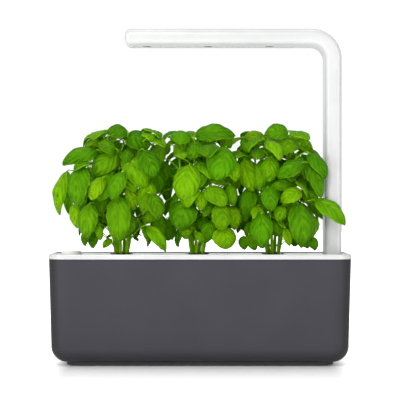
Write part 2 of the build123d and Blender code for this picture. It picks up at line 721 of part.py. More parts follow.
def make_float_guide():
    """A slotted well under the opening: the float's chamber in front, the filling chute behind."""
    half_width = FLOAT_OPENING_WIDTH / 2
    half_length = FLOAT_OPENING_LENGTH / 2
    inside = GUIDE_BOTTOM + GUIDE_FLOOR
    solid = guide_tube(GUIDE_WALL, GUIDE_BOTTOM, PLATE_BOTTOM)
    solid += guide_tube(GUIDE_WALL + GUIDE_FLANGE, PLATE_BOTTOM - GUIDE_FLANGE_THICKNESS, PLATE_BOTTOM)
    solid -= guide_tube(0, inside, PLATE_BOTTOM)
    chamber = guide_tube(GUIDE_WALL / 2, inside, PLATE_BOTTOM)
    divider = block(
        (FLOAT_X - half_width, DIVIDER_Y - GUIDE_FLOOR / 2, inside),
        (FLOAT_X + half_width, DIVIDER_Y + GUIDE_FLOOR / 2, PLATE_BOTTOM),
    )
    solid += divider & chamber
    bridge_low = FOAM_TOP + SOFT_GAP
    bridge = block(
        (FLOAT_X - half_width, -half_length - GUIDE_WALL / 2, bridge_low),
        (FLOAT_X + half_width, DIVIDER_Y, bridge_low + BRIDGE_THICKNESS),
    )
    solid += bridge & chamber
    solid -= rod(
        FLOAT_STEM_RADIUS + SOFT_GAP, bridge_low - CUT, bridge_low + BRIDGE_THICKNESS + CUT,
        FLOAT_X, FLOAT_CAP_Y,
    )
    slot_top = bridge_low - GUIDE_SLOT
    for y in (-3 * GUIDE_SLOT, 3 * GUIDE_SLOT):
        solid -= block(
            (FLOAT_X - half_width - 2 * GUIDE_WALL, y - GUIDE_SLOT / 2, inside + GUIDE_SLOT),
            (FLOAT_X + half_width + 2 * GUIDE_WALL, y + GUIDE_SLOT / 2, slot_top),
        )
        solid -= block(
            (FLOAT_X - GUIDE_SLOT, y - GUIDE_SLOT, GUIDE_BOTTOM - CUT),
            (FLOAT_X + GUIDE_SLOT, y + GUIDE_SLOT, inside),
        )
    return solid


def make_float_cap():
    """The float's domed button and the stem that joins it to the foam."""
    solid = stadium(
        FLOAT_CAP_WIDTH, FLOAT_CAP_LENGTH, FLOAT_CAP_LOW, FLOAT_CAP_TOP, FLOAT_X, FLOAT_CAP_Y
    )
    solid = fillet(solid.faces().sort_by(Axis.Z)[-1].edges(), FLOAT_CAP_DOME)
    stem_low = FOAM_TOP - FLOAT_STEM_HELD + SOFT_GAP
    return solid + rod(FLOAT_STEM_RADIUS, stem_low, FLOAT_CAP_LOW, FLOAT_X, FLOAT_CAP_Y)


def make_float_body():
    solid = stadium(
        FLOAT_CAP_WIDTH - 2 * FLOAT_FOAM_INSET, FLOAT_CAP_LENGTH - 2 * FLOAT_FOAM_INSET,
        FOAM_LOW, FOAM_TOP, FLOAT_X, FLOAT_CAP_Y,
    )
    return solid - rod(
        FLOAT_STEM_RADIUS + PIN_GAP, FOAM_TOP - FLOAT_STEM_HELD, FOAM_TOP + CUT, FLOAT_X, FLOAT_CAP_Y
    )


# Plant cups

def cup_radius(z):
    """The cup's outer radius at a height."""
    share = (z - CUP_BOTTOM) / CUP_DEPTH
    return CUP_BOTTOM_RADIUS + share * (CUP_TOP_RADIUS - CUP_BOTTOM_RADIUS)


def cone(inset, low, high, x):
    """A solid of the cup's taper, taken in by an inset, between two heights."""
    low_radius = cup_radius(low) - inset
    high_radius = cup_radius(high) - inset
    return Pos(x, 0, (low + high) / 2) * Cone(low_radius, high_radius, high - low)


def wick_slot(x, gap, low, high):
    half_width = WICK_WIDTH / 2 + gap
    half_thickness = WICK_THICKNESS / 2 + gap
    return block((x - half_width, -half_thickness, low), (x + half_width, half_thickness, high))


def make_cup(x):
    solid = cone(0, CUP_BOTTOM, WELL_LEDGE_Z, x)
    solid += rod(CUP_FLANGE_RADIUS, WELL_LEDGE_Z, CUP_FLANGE_TOP, x)
    solid -= cone(CUP_WALL, CUP_INSIDE, CUP_FLANGE_TOP + CUT, x)
    solid -= wick_slot(x, SOFT_GAP, CUP_BOTTOM - CUT, CUP_INSIDE + CUT)
    for step in range(CUP_SLOTS):
        slot = block(
            (CUP_BOTTOM_RADIUS - 3 * CUP_WALL, -CUP_SLOT_WIDTH / 2, CUP_INSIDE + CUP_SLOT_WIDTH),
            (CUP_TOP_RADIUS, CUP_SLOT_WIDTH / 2, CUP_INSIDE + CUP_SLOT_WIDTH + CUP_SLOT_HEIGHT),
        )
        solid -= Pos(x, 0, 0) * Rot(0, 0, step * 360 / CUP_SLOTS) * slot
    return solid


def make_cup_lid(x):
    solid = rod(CUP_FLANGE_RADIUS, CUP_FLANGE_TOP, LID_TOP, x)
    return solid - rod(LID_HOLE_RADIUS, CUP_FLANGE_TOP - CUT, LID_TOP + CUT, x)


def make_soil(x):
    solid = cone(CUP_WALL + SOFT_GAP, CUP_INSIDE, SOIL_RIM_Z, x)
    return solid + rod(LID_HOLE_RADIUS - SOFT_GAP, SOIL_RIM_Z, SOIL_TOP, x)


def make_wick(x):
    return wick_slot(x, 0, TANK_FLOOR + WICK_FLOOR_GAP, CUP_INSIDE)


# Basil. Each leaf runs from its stalk end to its tip, given as a distance across from the plant's
# axis and a height over the soil, with its width. A plant's list goes from its nearest leaf in
# front to its farthest, and each leaf lies behind those before it where they would meet.
Leaf = namedtuple("Leaf", "across height tip_across tip_height width")

FRONT_LEAVES = {
    "left": [
        Leaf(-39, 90, -44, 49, 23),
        Leaf(-2, 59, -1, 14, 24),
        Leaf(23, 106, 33, 78, 24),
        Leaf(27, 29, 46, 4, 15),
        Leaf(-31, 52, -34, 16, 21),
        Leaf(-24, 106, -59, 94, 18),
        Leaf(6, 125, -14, 124, 16),
        Leaf(6, 122, 29, 109, 22),
        Leaf(-55, 85, -65, 42, 16),
        Leaf(-4, 104, -29, 81, 24),
        Leaf(5, 99, 26, 69, 24),
        Leaf(29, 76, 23, 42, 19),
        Leaf(-9, 82, -23, 55, 22),
        Leaf(-5, 107, -23, 112, 15),
        Leaf(-28, 109, -24, 118, 8),
        Leaf(-47, 52, -44, 27, 12),
        Leaf(-36, 25, -36, 9, 8),
        Leaf(-26, 23, -28, 7, 10),
        Leaf(-22, 30, -20, 15, 8),
        Leaf(-9, 16, -18, 8, 8),
        Leaf(38, 49, 23, 31, 14),
        Leaf(36, 42, 41, 18, 15),
        Leaf(-16, 67, -24, 42, 16),
        Leaf(3, 84, -9, 56, 16),
        Leaf(9, 71, 14, 46, 15),
        Leaf(33, 90, 38, 62, 20),
        Leaf(30, 62, 40, 36, 18),
        Leaf(-18, 78, -30, 56, 16),
        Leaf(36, 112, 40, 92, 15),
    ],
    "middle": [
        Leaf(29, 109, 19, 75, 30),
        Leaf(26, 28, 29, 6, 24),
        Leaf(-8, 91, -14, 55, 26),
        Leaf(-2, 121, 38, 121, 20),
        Leaf(6, 116, -9, 97, 18),
        Leaf(-11, 56, -19, 25, 28),
        Leaf(9, 68, 29, 51, 20),
        Leaf(24, 51, 24, 25, 20),
        Leaf(-6, 119, -28, 118, 16),
        Leaf(-10, 114, -24, 102, 16),
        Leaf(-18, 101, -31, 71, 19),
        Leaf(5, 64, 3, 45, 12),
        Leaf(-29, 112, -45, 97, 16),
        Leaf(-28, 116, -38, 114, 9),
        Leaf(15, 34, 7, 12, 15),
        Leaf(6, 114, 20, 106, 11),
        Leaf(25, 121, 34, 108, 12),
        Leaf(-34, 80, -35, 54, 14),
        Leaf(33, 71, 36, 50, 12),
        Leaf(15, 55, 6, 38, 10),
        Leaf(3, 40, 10, 22, 14),
        Leaf(29, 73, 10, 76, 10),
        Leaf(-1, 23, 6, 13, 8),
        Leaf(-7, 27, -16, 19, 8),
        Leaf(-35, 96, -39, 70, 18),
        Leaf(-33, 60, -37, 34, 18),
        Leaf(33, 98, 39, 74, 16),
        Leaf(35, 50, 39, 26, 16),
        Leaf(10, 92, 4, 66, 18),
        Leaf(-32, 36, -30, 14, 13),
    ],
    "right": [
        Leaf(41, 55, 71, 30, 21),
        Leaf(35, 103, 53, 78, 16),
        Leaf(24, 52, 28, 8, 26),
        Leaf(47, 79, 52, 46, 12),
        Leaf(14, 125, -9, 123, 18),
        Leaf(26, 113, -7, 106, 18),
        Leaf(-30, 97, -21, 64, 22),
        Leaf(34, 93, 48, 58, 17),
        Leaf(-13, 42, -13, 7, 22),
        Leaf(15, 121, 41, 103, 15),
        Leaf(-7, 68, -3, 44, 17),
        Leaf(27, 65, 6, 54, 16),
        Leaf(29, 65, 45, 51, 15),
        Leaf(-21, 69, -30, 33, 18),
        Leaf(28, 93, 3, 78, 17),
        Leaf(-3, 99, -6, 74, 18),
        Leaf(-9, 120, -30, 120, 13),
        Leaf(24, 73, -5, 68, 14),
        Leaf(-31, 119, -25, 103, 11),
        Leaf(-31, 19, -30, 5, 11),
        Leaf(-26, 20, -19, 5, 11),
        Leaf(8, 50, 4, 33, 13),
        Leaf(36, 19, 42, 5, 12),
        Leaf(11, 27, 15, 9, 10),
        Leaf(33, 49, 36, 15, 13),
        Leaf(-11, 97, -15, 65, 14),
        Leaf(-3, 106, -22, 99, 12),
        Leaf(-37, 94, -38, 66, 16),
        Leaf(-35, 62, -38, 34, 16),
        Leaf(-22, 110, -39, 92, 16),
        Leaf(12, 88, 18, 58, 20),
        Leaf(-2, 84, 0, 52, 18),
        Leaf(-12, 36, -26, 14, 13),
    ],
}
# A front leaf's tip stands out by a share of its length, and its face looks sideways, outwards and
# upwards by these shares.
FRONT_TIP_OUT = 0.12
FRONT_FACING = (0.35, 0.9, 0.45)
# Smaller leaves than this grow in front only.
BACK_LEAF_WIDTH = 12.0
BACK_SHRINK = 0.9
# Leaves inside the bush, round its axis, each turned on from the last by the golden angle.
INNER_LEAVES = 20
INNER_LENGTH = 31.0
INNER_WIDTH = 18.0
INNER_RING = 27.0
INNER_LOW = 44.0
INNER_HIGH = 119.0
INNER_DROOP = 0.9
INNER_DROOP_LESS = 0.5
GOLDEN_ANGLE = 137.5
# Leaves that face sideways, one under another on each side of a plant.
SIDE_LEAVES = 5
SIDE_LEAF_WIDTH = 20.0
SIDE_LEAF_DROP = 26.0
SIDE_REACH = 33.0
SIDE_LOW = 34.0
SIDE_STEP = 17.0
SIDE_SWAY = 13.0
SIDE_TIP_OUT = 9.0
SIDE_TIP_SWAY = 1.6
SIDE_FACING = (1.0, 0.3, 0.45)
# How far each kind of leaf is moved at a time until it is clear, and how often.
FRONT_STEPS = (1.5, 24)
SIDE_STEPS = (2.0, 8)
INNER_STEPS = (2.0, 7)


class GrownLeaf:
    """A leaf's place: its stalk end, its length and width, its frame, and points all over it."""

    def __init__(self, base, tip, outward, width):
        self.base = np.array(base, float)
        along = np.array(tip, float) - self.base
        self.length = float(np.linalg.norm(along))
        self.along = along / self.length
        outward = np.array(outward, float)
        normal = outward - self.along * outward.dot(self.along)
        self.normal = normal / np.linalg.norm(normal)
        self.across = np.cross(self.normal, self.along)
        self.width = LEAF_BREADTH * width
        self.radius = LEAF_ARCH * self.length
        self.rise = self.radius - sqrt(self.radius**2 - self.length**2 / 4)

    def points(self):
        rows = []
        for u in np.linspace(0, 1, 9):
            half = self.width / 2 * sin(pi * max(OVATE_LEAST, u**OVATE_POWER))
            for v in (-1, -0.5, 0, 0.5, 1):
                side = v * half
                x = (u - 0.5) * self.length
                lift = sqrt(self.radius**2 - x * x - side * side) - self.radius + self.rise
                rows.append(
                    self.base + self.along * u * self.length + self.across * side + self.normal * lift
                )
        return np.array(rows)

    def solid(self):
        """An ovate blade cut from a thin round shell, so that it arches both ways."""
        length, half = self.length, self.width / 2
        edge = [(0.13, 0.68), (0.39, 1.0), (0.73, 0.66)]
        upper = Spline((0, 0), *[(u * length, v * half) for u, v in edge], (length, 0))
        lower = Spline((0, 0), *[(u * length, -v * half) for u, v in edge], (length, 0))
        outline = make_face(Curve() + [upper, lower])
        depth = self.radius / 2
        blade = Pos(0, 0, -depth) * extrude(outline, depth + self.rise + LEAF_THICKNESS)
        centre = Pos(length / 2, 0, self.rise - self.radius)
        shell = Sphere(self.radius + LEAF_THICKNESS / 2) - Sphere(self.radius - LEAF_THICKNESS / 2)
        place = Plane(
            origin=Vector(*self.base), x_dir=Vector(*self.along), z_dir=Vector(*self.normal)
        )
        return place * ((centre * shell) & blade)


def bush_depth(across, height):
    """How far in front of its axis a plant's leaves stand, at a place in its outline."""
    share = 1 - (across / BUSH_SIDE) ** 2 - ((height - BUSH_MIDDLE_HEIGHT) / BUSH_HALF_HEIGHT) ** 2
    return BUSH_DEPTH * sqrt(max(share, BUSH_LEAST))


def clearance(points, others):
    """The least distance from a leaf's points to those of the leaves already grown."""
    return float(np.sqrt(((points[:, None, :] - others[None, :, :]) ** 2).sum(-1)).min())


def meets_post(points):
    """Whether a leaf reaches into the column over the post's section."""
    across = abs(points[:, 0] - POST_X) < POST_THICKNESS / 2 + LEAF_THICKNESS
    along = abs(points[:, 1]) < POST_DEPTH / 2 + LEAF_THICKNESS
    return bool((across & along).any())


def meets_cup(points, plant_x):
    """Whether a leaf hangs over a cup's lid, where the cup would meet it when it is lifted out."""
    over = np.hypot(points[:, 0] - plant_x, points[:, 1]) < CUP_FLANGE_RADIUS + LEAF_THICKNESS
    low = points[:, 2] < LID_TOP + CUP_LIFT + LEAF_THICKNESS
    return bool((over & low).any())


def settle(make_leaf, step, steps, is_clear):
    """Move a leaf inwards, or else outwards, until it is clear. None has room where both fail."""
    for count in [*range(steps), *range(-1, -OUTWARD_TRIES - 1, -1)]:
        leaf = make_leaf(count * step)
        if is_clear(leaf.points()):
            return leaf
    return None


def grow_front_leaf(plant_x, leaf, back):
    """A leaf of the front list, or its smaller double at the back of the plant."""
    face = 1 if back else -1
    shrink = BACK_SHRINK if back else 1.0

    def make_leaf(inward):
        middle = (leaf.across + leaf.tip_across) / 2
        depth = bush_depth(middle, (leaf.height + leaf.tip_height) / 2) - inward
        out = FRONT_TIP_OUT * hypot(leaf.tip_across - leaf.across, leaf.tip_height - leaf.height)
        base = (plant_x + shrink * leaf.across, face * (depth - out), SOIL_TOP + leaf.height)
        tip = (plant_x + shrink * leaf.tip_across, face * (depth + out), SOIL_TOP + leaf.tip_height)
        sideways, outwards, upwards = FRONT_FACING
        outward = (sideways * middle / BUSH_DEPTH, face * outwards, upwards)
        return GrownLeaf(base, tip, outward, shrink * leaf.width)

    return make_leaf


def grow_side_leaf(plant_x, side, index):
    """One of the leaves that face sideways, swaying to the front and the back in turn."""
    height = SIDE_LOW + SIDE_STEP * index
    sway = SIDE_SWAY * (1 if index % 2 else -1)

    def make_leaf(inward):
        reach = SIDE_REACH - inward
        base = (plant_x + side * (reach - SIDE_TIP_OUT), sway, SOIL_TOP + height)
        tip = (plant_x + side * reach, SIDE_TIP_SWAY * sway, SOIL_TOP + height - SIDE_LEAF_DROP)
        outwards, swayed, upwards = SIDE_FACING
        outward = (side * outwards, swayed * sway / SIDE_SWAY, upwards)
        return GrownLeaf(base, tip, outward, SIDE_LEAF_WIDTH)

    return make_leaf


def grow_inner_leaf(plant_x, index):
    """One of the leaves round the plant's axis, hanging outwards from its stalk."""
    angle = radians(GOLDEN_ANGLE * index)
    height = INNER_LOW + (INNER_HIGH - INNER_LOW) * (index + 0.5) / INNER_LEAVES
    droop = INNER_DROOP - INNER_DROOP_LESS * index / INNER_LEAVES
    out = np.array([cos(angle), sin(angle), 0.0])

    def make_leaf(inward):
        ring = INNER_RING - inward
        middle = np.array([plant_x, 0, SOIL_TOP + height]) + ring * out
        half = INNER_LENGTH / 2 * (cos(droop) * out - np.array([0, 0, sin(droop)]))
        outward = sin(droop) * out + np.array([0, 0, cos(droop)])
        return GrownLeaf(middle - half, middle + half, outward, INNER_WIDTH)

    return make_leaf


def grow_leaves():
    """Every plant's leaves, clear of its own plant's, of the post and of the other plants' cups,
    and beside the other plants' leaves, seen from above."""
    grown = {name: [] for name in PLANT_X}
    points = {name: main_stem_points(x) for name, x in PLANT_X.items()}

    def is_clear(name, spots):
        others = [other for other in PLANT_X if other != name]
        neighbours = np.concatenate([points[other] for other in others])
        near = clearance(spots, points[name]) < LEAF_SPACE
        under = clearance(spots[:, :2], neighbours[:, :2]) < NEIGHBOUR_SPACE
        over_cup = any(meets_cup(spots, PLANT_X[other]) for other in others)
        return not (near or under or over_cup or meets_post(spots))

    def place(name, make_leaf, step, steps):
        leaf = settle(make_leaf, step, steps, lambda spots: is_clear(name, spots))
        if leaf is not None:
            grown[name].append(leaf)
            points[name] = np.concatenate([points[name], leaf.points()])

    for name, x in PLANT_X.items():
        for leaf in FRONT_LEAVES[name]:
            place(name, grow_front_leaf(x, leaf, back=False), *FRONT_STEPS)
    for name, x in PLANT_X.items():
        for leaf in FRONT_LEAVES[name]:
            if leaf.width >= BACK_LEAF_WIDTH:
                place(name, grow_front_leaf(x, leaf, back=True), *FRONT_STEPS)
        for side in (-1, 1):
            for index in range(SIDE_LEAVES):
                place(name, grow_side_leaf(x, side, index), *SIDE_STEPS)
        for index in range(INNER_LEAVES):
            place(name, grow_inner_leaf(x, index), *INNER_STEPS)
    return grown


def stem_point(plant_x, index, height):
    """A point on one of the plant's main stems, which spread as they rise."""
    angle = 2 * pi * (index + STEM_TURN) / STEM_COUNT
    risen = max(0.0, height - STEM_FOOT) / (STEM_HEIGHT - STEM_FOOT)
    ring = STEM_FOOT_RING + (STEM_TOP_RING - STEM_FOOT_RING) * risen**STEM_SPREAD
    ring *= 1 + STEM_LEAN * sin(STEM_LEAN_TURN * index)
    return Vector(plant_x + ring * cos(angle), ring * sin(angle), SOIL_TOP + height)


def main_stem_points(plant_x):
    """Points up every main stem of a plant."""
    heights = np.linspace(0, STEM_HEIGHT, ceil(STEM_HEIGHT / STEM_SPACE))
    marks = [stem_point(plant_x, index, height) for index in range(STEM_COUNT) for height in heights]
    return np.array([tuple(mark) for mark in marks])


def stalk_root(plant_x, index, base, taken):
    """The free height nearest to where a leaf's stalk would best leave a main stem."""
    height = base.Z - SOIL_TOP
    at_side = stem_point(plant_x, index, min(STEM_HEIGHT, height))
    reach = hypot(base.X - at_side.X, base.Y - at_side.Y)
    wanted = min(height - PETIOLE_RISE * reach, height - PETIOLE_PITCH)
    heights = np.arange(PETIOLE_LOWEST, STEM_HEIGHT, PETIOLE_PITCH)
    free = [rise for rise in heights if (index, rise) not in taken]
    return index, min(free, key=lambda rise: abs(rise - wanted))


def stalk_cost(root, leaf, leaves):
    """A stalk's length, and more for each place where it would run through another leaf."""
    steps = np.linspace(0, 1, STALK_STEPS, endpoint=False)[:, None]
    track = np.array(tuple(root)) * (1 - steps) + leaf.base * steps
    others = np.concatenate([other.points() for other in leaves if other is not leaf])
    gaps = np.sqrt(((track[:, None, :] - others[None, :, :]) ** 2).sum(-1)).min(axis=1)
    length = float(np.linalg.norm(np.array(tuple(root)) - leaf.base))
    return length + STALK_BLOCKED * float((gaps < STEM_SPACE).sum())


def link(start, end, radius, knot):
    """A straight stem with a knot at its far end."""
    way = end - start
    shaft = Solid.make_cylinder(radius, way.length, Plane(origin=start, z_dir=way))
    return [shaft, Solid.make_sphere(knot, Plane(origin=end, z_dir=way), angle1=-90)]


def make_stems(plant_x, leaves):
    """Main stems from the soil, with a leaf stalk from the nearest of them to each leaf."""
    pieces = []
    for index in range(STEM_COUNT):
        rises = [STEM_FOOT + (STEM_HEIGHT - STEM_FOOT) * k / STEM_PIECES for k in range(STEM_PIECES + 1)]
        marks = [stem_point(plant_x, index, height) for height in (0.0, *rises)]
        for start, end in zip(marks, marks[1:]):
            pieces += link(start, end, STEM_RADIUS, STEM_KNOT_RADIUS)
    taken = set()
    for leaf in leaves:
        base = Vector(*leaf.base)
        roots = [stalk_root(plant_x, index, base, taken) for index in range(STEM_COUNT)]
        root = min(roots, key=lambda place: stalk_cost(stem_point(plant_x, *place), leaf, leaves))
        taken.add(root)
        pieces += link(stem_point(plant_x, *root), base, PETIOLE_RADIUS, PETIOLE_KNOT_RADIUS)
    return pieces[0].fuse(*pieces[1:])


# Post extension and lamp

def post_section(inset):
    """The post's section, taken in by an inset: X across its thickness, Y across its depth."""
    return RectangleRounded(
        POST_THICKNESS - 2 * inset, POST_DEPTH - 2 * inset, POST_CORNER - inset
    )


def arm_form(inset, low, left):
    """The lamp's bent arm: up the post, round the bend and out to the left."""
    bend_z = LAMP_MIDDLE_Z - LAMP_BEND_RADIUS
    bend_x = POST_X - LAMP_BEND_RADIUS
    form = Pos(POST_X, 0, low) * extrude(post_section(inset), bend_z - low)
    turn = Axis((bend_x, 0, bend_z), (0, -1, 0))
    form += revolve(Pos(POST_X, 0, bend_z) * post_section(inset), turn, 90)
    head = Plane(origin=(bend_x, 0, LAMP_MIDDLE_Z), x_dir=(0, 0, 1), z_dir=(-1, 0, 0))
    form += head * extrude(post_section(inset), bend_x - left)
    return form


def make_extension_tube():
    solid = Pos(POST_X, 0, POST_FOOT_Z) * extrude(post_section(0), SEAM_Z - POST_FOOT_Z)
    hollow = extrude(post_section(POST_WALL), SEAM_Z - POST_FOOT_Z + 2 * CUT)
    return solid - Pos(POST_X, 0, POST_FOOT_Z - CUT) * hollow


def panel_screw_places():
    return [(x, y) for x in PANEL_SCREW_X for y in (-PANEL_SCREW_Y, PANEL_SCREW_Y)]


def make_lamp_shell():
    solid = arm_form(0, SEAM_Z, LAMP_LEFT_X)
    solid = fillet(solid.faces().sort_by(Axis.X)[0].edges(), LAMP_END_RADIUS)
    solid -= arm_form(POST_WALL, SEAM_Z - CUT, LAMP_LEFT_X + POST_WALL)
    ceiling = LAMP_TOP_Z - POST_WALL
    for x, y in panel_screw_places():
        solid += rod(SHOULDER_RADIUS, SINK_TOP, ceiling + CUT, x, y)
        solid += rod(PANEL_BOSS_RADIUS, PANEL_TOP, SINK_TOP, x, y)
        hole_top = PANEL_TOP + PANEL_SCREW_LENGTH
        solid -= rod(PANEL_SCREW[0] + PIN_GAP, PANEL_TOP - CUT, hole_top, x, y)
    gap = SOFT_GAP
    solid -= prism(
        PANEL_RIGHT_X - PANEL_LEFT_X + 2 * gap, PANEL_DEPTH + 2 * gap, PANEL_CORNER + gap,
        LAMP_UNDER_Z - CUT, LAMP_UNDER_Z + POST_WALL, (PANEL_LEFT_X + PANEL_RIGHT_X) / 2,
    )
    return solid


def vent_places():
    """Two fields of small holes, between the three lights."""
    places = []
    for side in (-0.5, 0.5):
        middle = LIGHT_MIDDLE_X + side * LIGHT_PITCH
        for column in range(VENT_COLUMNS):
            for row in range(VENT_ROWS):
                x = middle + (column - (VENT_COLUMNS - 1) / 2) * VENT_PITCH
                places.append((x, (row - (VENT_ROWS - 1) / 2) * VENT_PITCH))
    return places


def make_lamp_panel():
    width = PANEL_RIGHT_X - PANEL_LEFT_X
    middle = (PANEL_LEFT_X + PANEL_RIGHT_X) / 2
    sketch = Pos(middle, 0) * RectangleRounded(width, PANEL_DEPTH, PANEL_CORNER)
    sketch -= [Pos(x, 0) * Circle(LIGHT_HOLE_RADIUS) for x in LIGHT_X]
    sketch -= [Pos(x, y) * Circle(VENT_RADIUS) for x, y in vent_places()]
    sketch -= [Pos(x, y) * Circle(PANEL_SCREW[0] + SCREW_GAP) for x, y in panel_screw_places()]
    solid = Pos(0, 0, PANEL_LOW) * extrude(sketch, PANEL_THICKNESS)
    for x, y in panel_screw_places():
        solid -= rod(PANEL_SCREW[1] + SCREW_GAP, PANEL_LOW - CUT, PANEL_LOW + PANEL_SCREW[2], x, y)
    return solid


def make_panel_screws():
    z = PANEL_LOW + PANEL_SCREW[2]
    length = PANEL_SCREW_LENGTH
    return [screw(PANEL_SCREW, length, Pos(x, y, z)) for x, y in panel_screw_places()]


def make_bezels():
    """Dark rings round the lights, flanged to sit on the panel and stand up to the board."""
    low = PANEL_LOW
    high = low + BEZEL_HEIGHT
    profile = Polyline(
        (BEZEL_MOUTH_RADIUS, 0, low),
        (BEZEL_RADIUS, 0, low),
        (BEZEL_RADIUS, 0, PANEL_TOP),
        (BEZEL_FLANGE_RADIUS, 0, PANEL_TOP),
        (BEZEL_FLANGE_RADIUS, 0, PANEL_TOP + BEZEL_FLANGE),
        (BEZEL_BODY_RADIUS, 0, PANEL_TOP + BEZEL_FLANGE),
        (BEZEL_BODY_RADIUS, 0, high),
        (BEZEL_BORE_RADIUS, 0, high),
        close=True,
    )
    ring = revolve(make_face(profile), Axis.Z)
    return [Pos(x, 0, 0) * ring for x in LIGHT_X]


def make_lenses():
    radius = BEZEL_BORE_RADIUS - SOFT_GAP
    low = PANEL_LOW + LENS_DOME + SOFT_GAP
    dome_radius = (radius**2 + LENS_DOME**2) / (2 * LENS_DOME)
    lens = rod(radius, low, low + LENS_THICKNESS)
    lens += Pos(0, 0, low - LENS_DOME + dome_radius) * Sphere(dome_radius) & rod(radius, low - LENS_DOME, low)
    return [Pos(x, 0, 0) * lens for x in LIGHT_X]


def make_chips():
    half = CHIP_SIZE / 2
    high = LED_BOARD_LOW
    return [block((x - half, -half, high - CHIP_THICKNESS), (x + half, half, high)) for x in LIGHT_X]


def make_led_board():
    return block(
        (LED_BOARD_LEFT_X, -LED_BOARD_DEPTH / 2, LED_BOARD_LOW),
        (LED_BOARD_RIGHT_X, LED_BOARD_DEPTH / 2, LED_BOARD_TOP),
    )


def make_heat_sink():
    """A plate on the light board's back, with holes for the shell's bosses and fins along it."""
    solid = block(
        (SINK_LEFT_X, -SINK_DEPTH / 2, LED_BOARD_TOP), (SINK_RIGHT_X, SINK_DEPTH / 2, SINK_TOP)
    )
    for x, y in panel_screw_places():
        solid -= rod(PANEL_BOSS_RADIUS + SOFT_GAP, LED_BOARD_TOP - CUT, SINK_TOP + CUT, x, y)
    for step in range(FIN_COUNT):
        y = (step - (FIN_COUNT - 1) / 2) * FIN_PITCH
        solid += block(
            (SINK_LEFT_X, y - FIN_THICKNESS / 2, SINK_TOP),
            (SINK_RIGHT_X, y + FIN_THICKNESS / 2, SINK_TOP + FIN_HEIGHT),
        )
    return solid


def make_extension_wires():
    """Straight up the post, from the plug's pins to the upper contacts."""
    low, high = BASE_PLUG_LOW + PIN_HELD, tail_low(TOP_CARRIER_LOW)
    return [rod(WIRE_RADIUS, low, high, POST_X, y) for y in (-CONTACT_Y, CONTACT_Y)]


def make_lamp_wires():
    """From the plug's pins up the post, round the bend and onto the light board's end."""
    z = LED_BOARD_TOP + WIRE_RADIUS + PIN_GAP
    low = TOP_PLUG_LOW + PIN_HELD
    end_x = (LED_BOARD_RIGHT_X + SINK_RIGHT_X) / 2
    return [
        wire([(POST_X, y, low), (POST_X, y, z), (end_x, y, z)], LAMP_WIRE_BEND)
        for y in (-CONTACT_Y, CONTACT_Y)
    ]


# Write every node

save("casing", make_casing())
save("plinth", make_plinth())
save("plinth_screws", *make_plinth_screws())
save("rubber_feet", *make_feet())
save("water_tank", make_tank())
save("lamp_socket", make_socket())
save("socket_screws", *make_socket_screws())
save("contact_carrier", make_contact_carrier(SOCKET_SHELF_Z))
save("socket_contacts", *make_contacts(SOCKET_SHELF_Z))
save("control_board", make_board())
save("board_chips", *make_board_chips())
save("board_screws", *make_board_screws())
save("dc_inlet", make_inlet())
save("inlet_pin", make_inlet_pin())
save("inlet_nut", make_inlet_nut())
save("base_wires", *make_base_wires())

save("tray", make_tray())
save("float_guide", make_float_guide())
save("float_cap", make_float_cap())
save("float_body", make_float_body())

save("extension_tube", make_extension_tube())
save("extension_plug", make_plug(BASE_PLUG_LOW, POST_FOOT_Z + PLUG_HELD))
save("extension_pins", *make_pins(BASE_PLUG_LOW))
save("extension_socket", make_contact_carrier(TOP_CARRIER_LOW))
save("extension_contacts", *make_contacts(TOP_CARRIER_LOW))
save("extension_wires", *make_extension_wires())

save("lamp_shell", make_lamp_shell())
save("lamp_panel", make_lamp_panel())
save("panel_screws", *make_panel_screws())
save("led_board", make_led_board())
save("led_chips", *make_chips())
save("led_bezels", *make_bezels())
save("led_lenses", *make_lenses())
save("heat_sink", make_heat_sink())
save("lamp_plug", make_plug(TOP_PLUG_LOW, SEAM_Z + PLUG_HELD))
save("lamp_plug_pins", *make_pins(TOP_PLUG_LOW))
save("lamp_wires", *make_lamp_wires())

leaves = grow_leaves()
for name, x in PLANT_X.items():
    save("cup_" + name, make_cup(x))
    save("cup_lid_" + name, make_cup_lid(x))
    save("soil_" + name, make_soil(x))
    save("wick_" + name, make_wick(x))
    save("basil_stems_" + name, make_stems(x, leaves[name]))
    save("basil_leaves_" + name, *[leaf.solid() for leaf in leaves[name]])
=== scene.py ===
import json
from math import atan2, cos, pi, radians, sin, sqrt

import bpy
import numpy as np
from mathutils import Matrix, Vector, noise


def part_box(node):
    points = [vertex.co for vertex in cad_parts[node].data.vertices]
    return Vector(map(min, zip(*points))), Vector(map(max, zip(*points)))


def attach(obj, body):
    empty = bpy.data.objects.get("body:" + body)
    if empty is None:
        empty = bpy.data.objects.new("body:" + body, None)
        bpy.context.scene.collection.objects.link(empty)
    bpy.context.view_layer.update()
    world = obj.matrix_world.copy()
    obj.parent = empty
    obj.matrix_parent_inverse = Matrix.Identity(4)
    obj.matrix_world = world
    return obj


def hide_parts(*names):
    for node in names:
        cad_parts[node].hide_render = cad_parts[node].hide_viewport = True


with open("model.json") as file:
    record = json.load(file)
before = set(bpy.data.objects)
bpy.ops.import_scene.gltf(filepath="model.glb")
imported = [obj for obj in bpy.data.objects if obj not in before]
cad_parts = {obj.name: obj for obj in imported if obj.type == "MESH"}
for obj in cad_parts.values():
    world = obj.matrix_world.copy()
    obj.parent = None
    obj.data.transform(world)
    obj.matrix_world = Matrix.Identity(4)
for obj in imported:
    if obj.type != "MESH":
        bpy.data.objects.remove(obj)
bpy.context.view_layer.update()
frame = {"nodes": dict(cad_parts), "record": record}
nodes = frame["nodes"]

# Metres throughout, as in the frame.
PLANTS = ("left", "middle", "right")
UP = np.array([0.0, 0.0, 1.0])

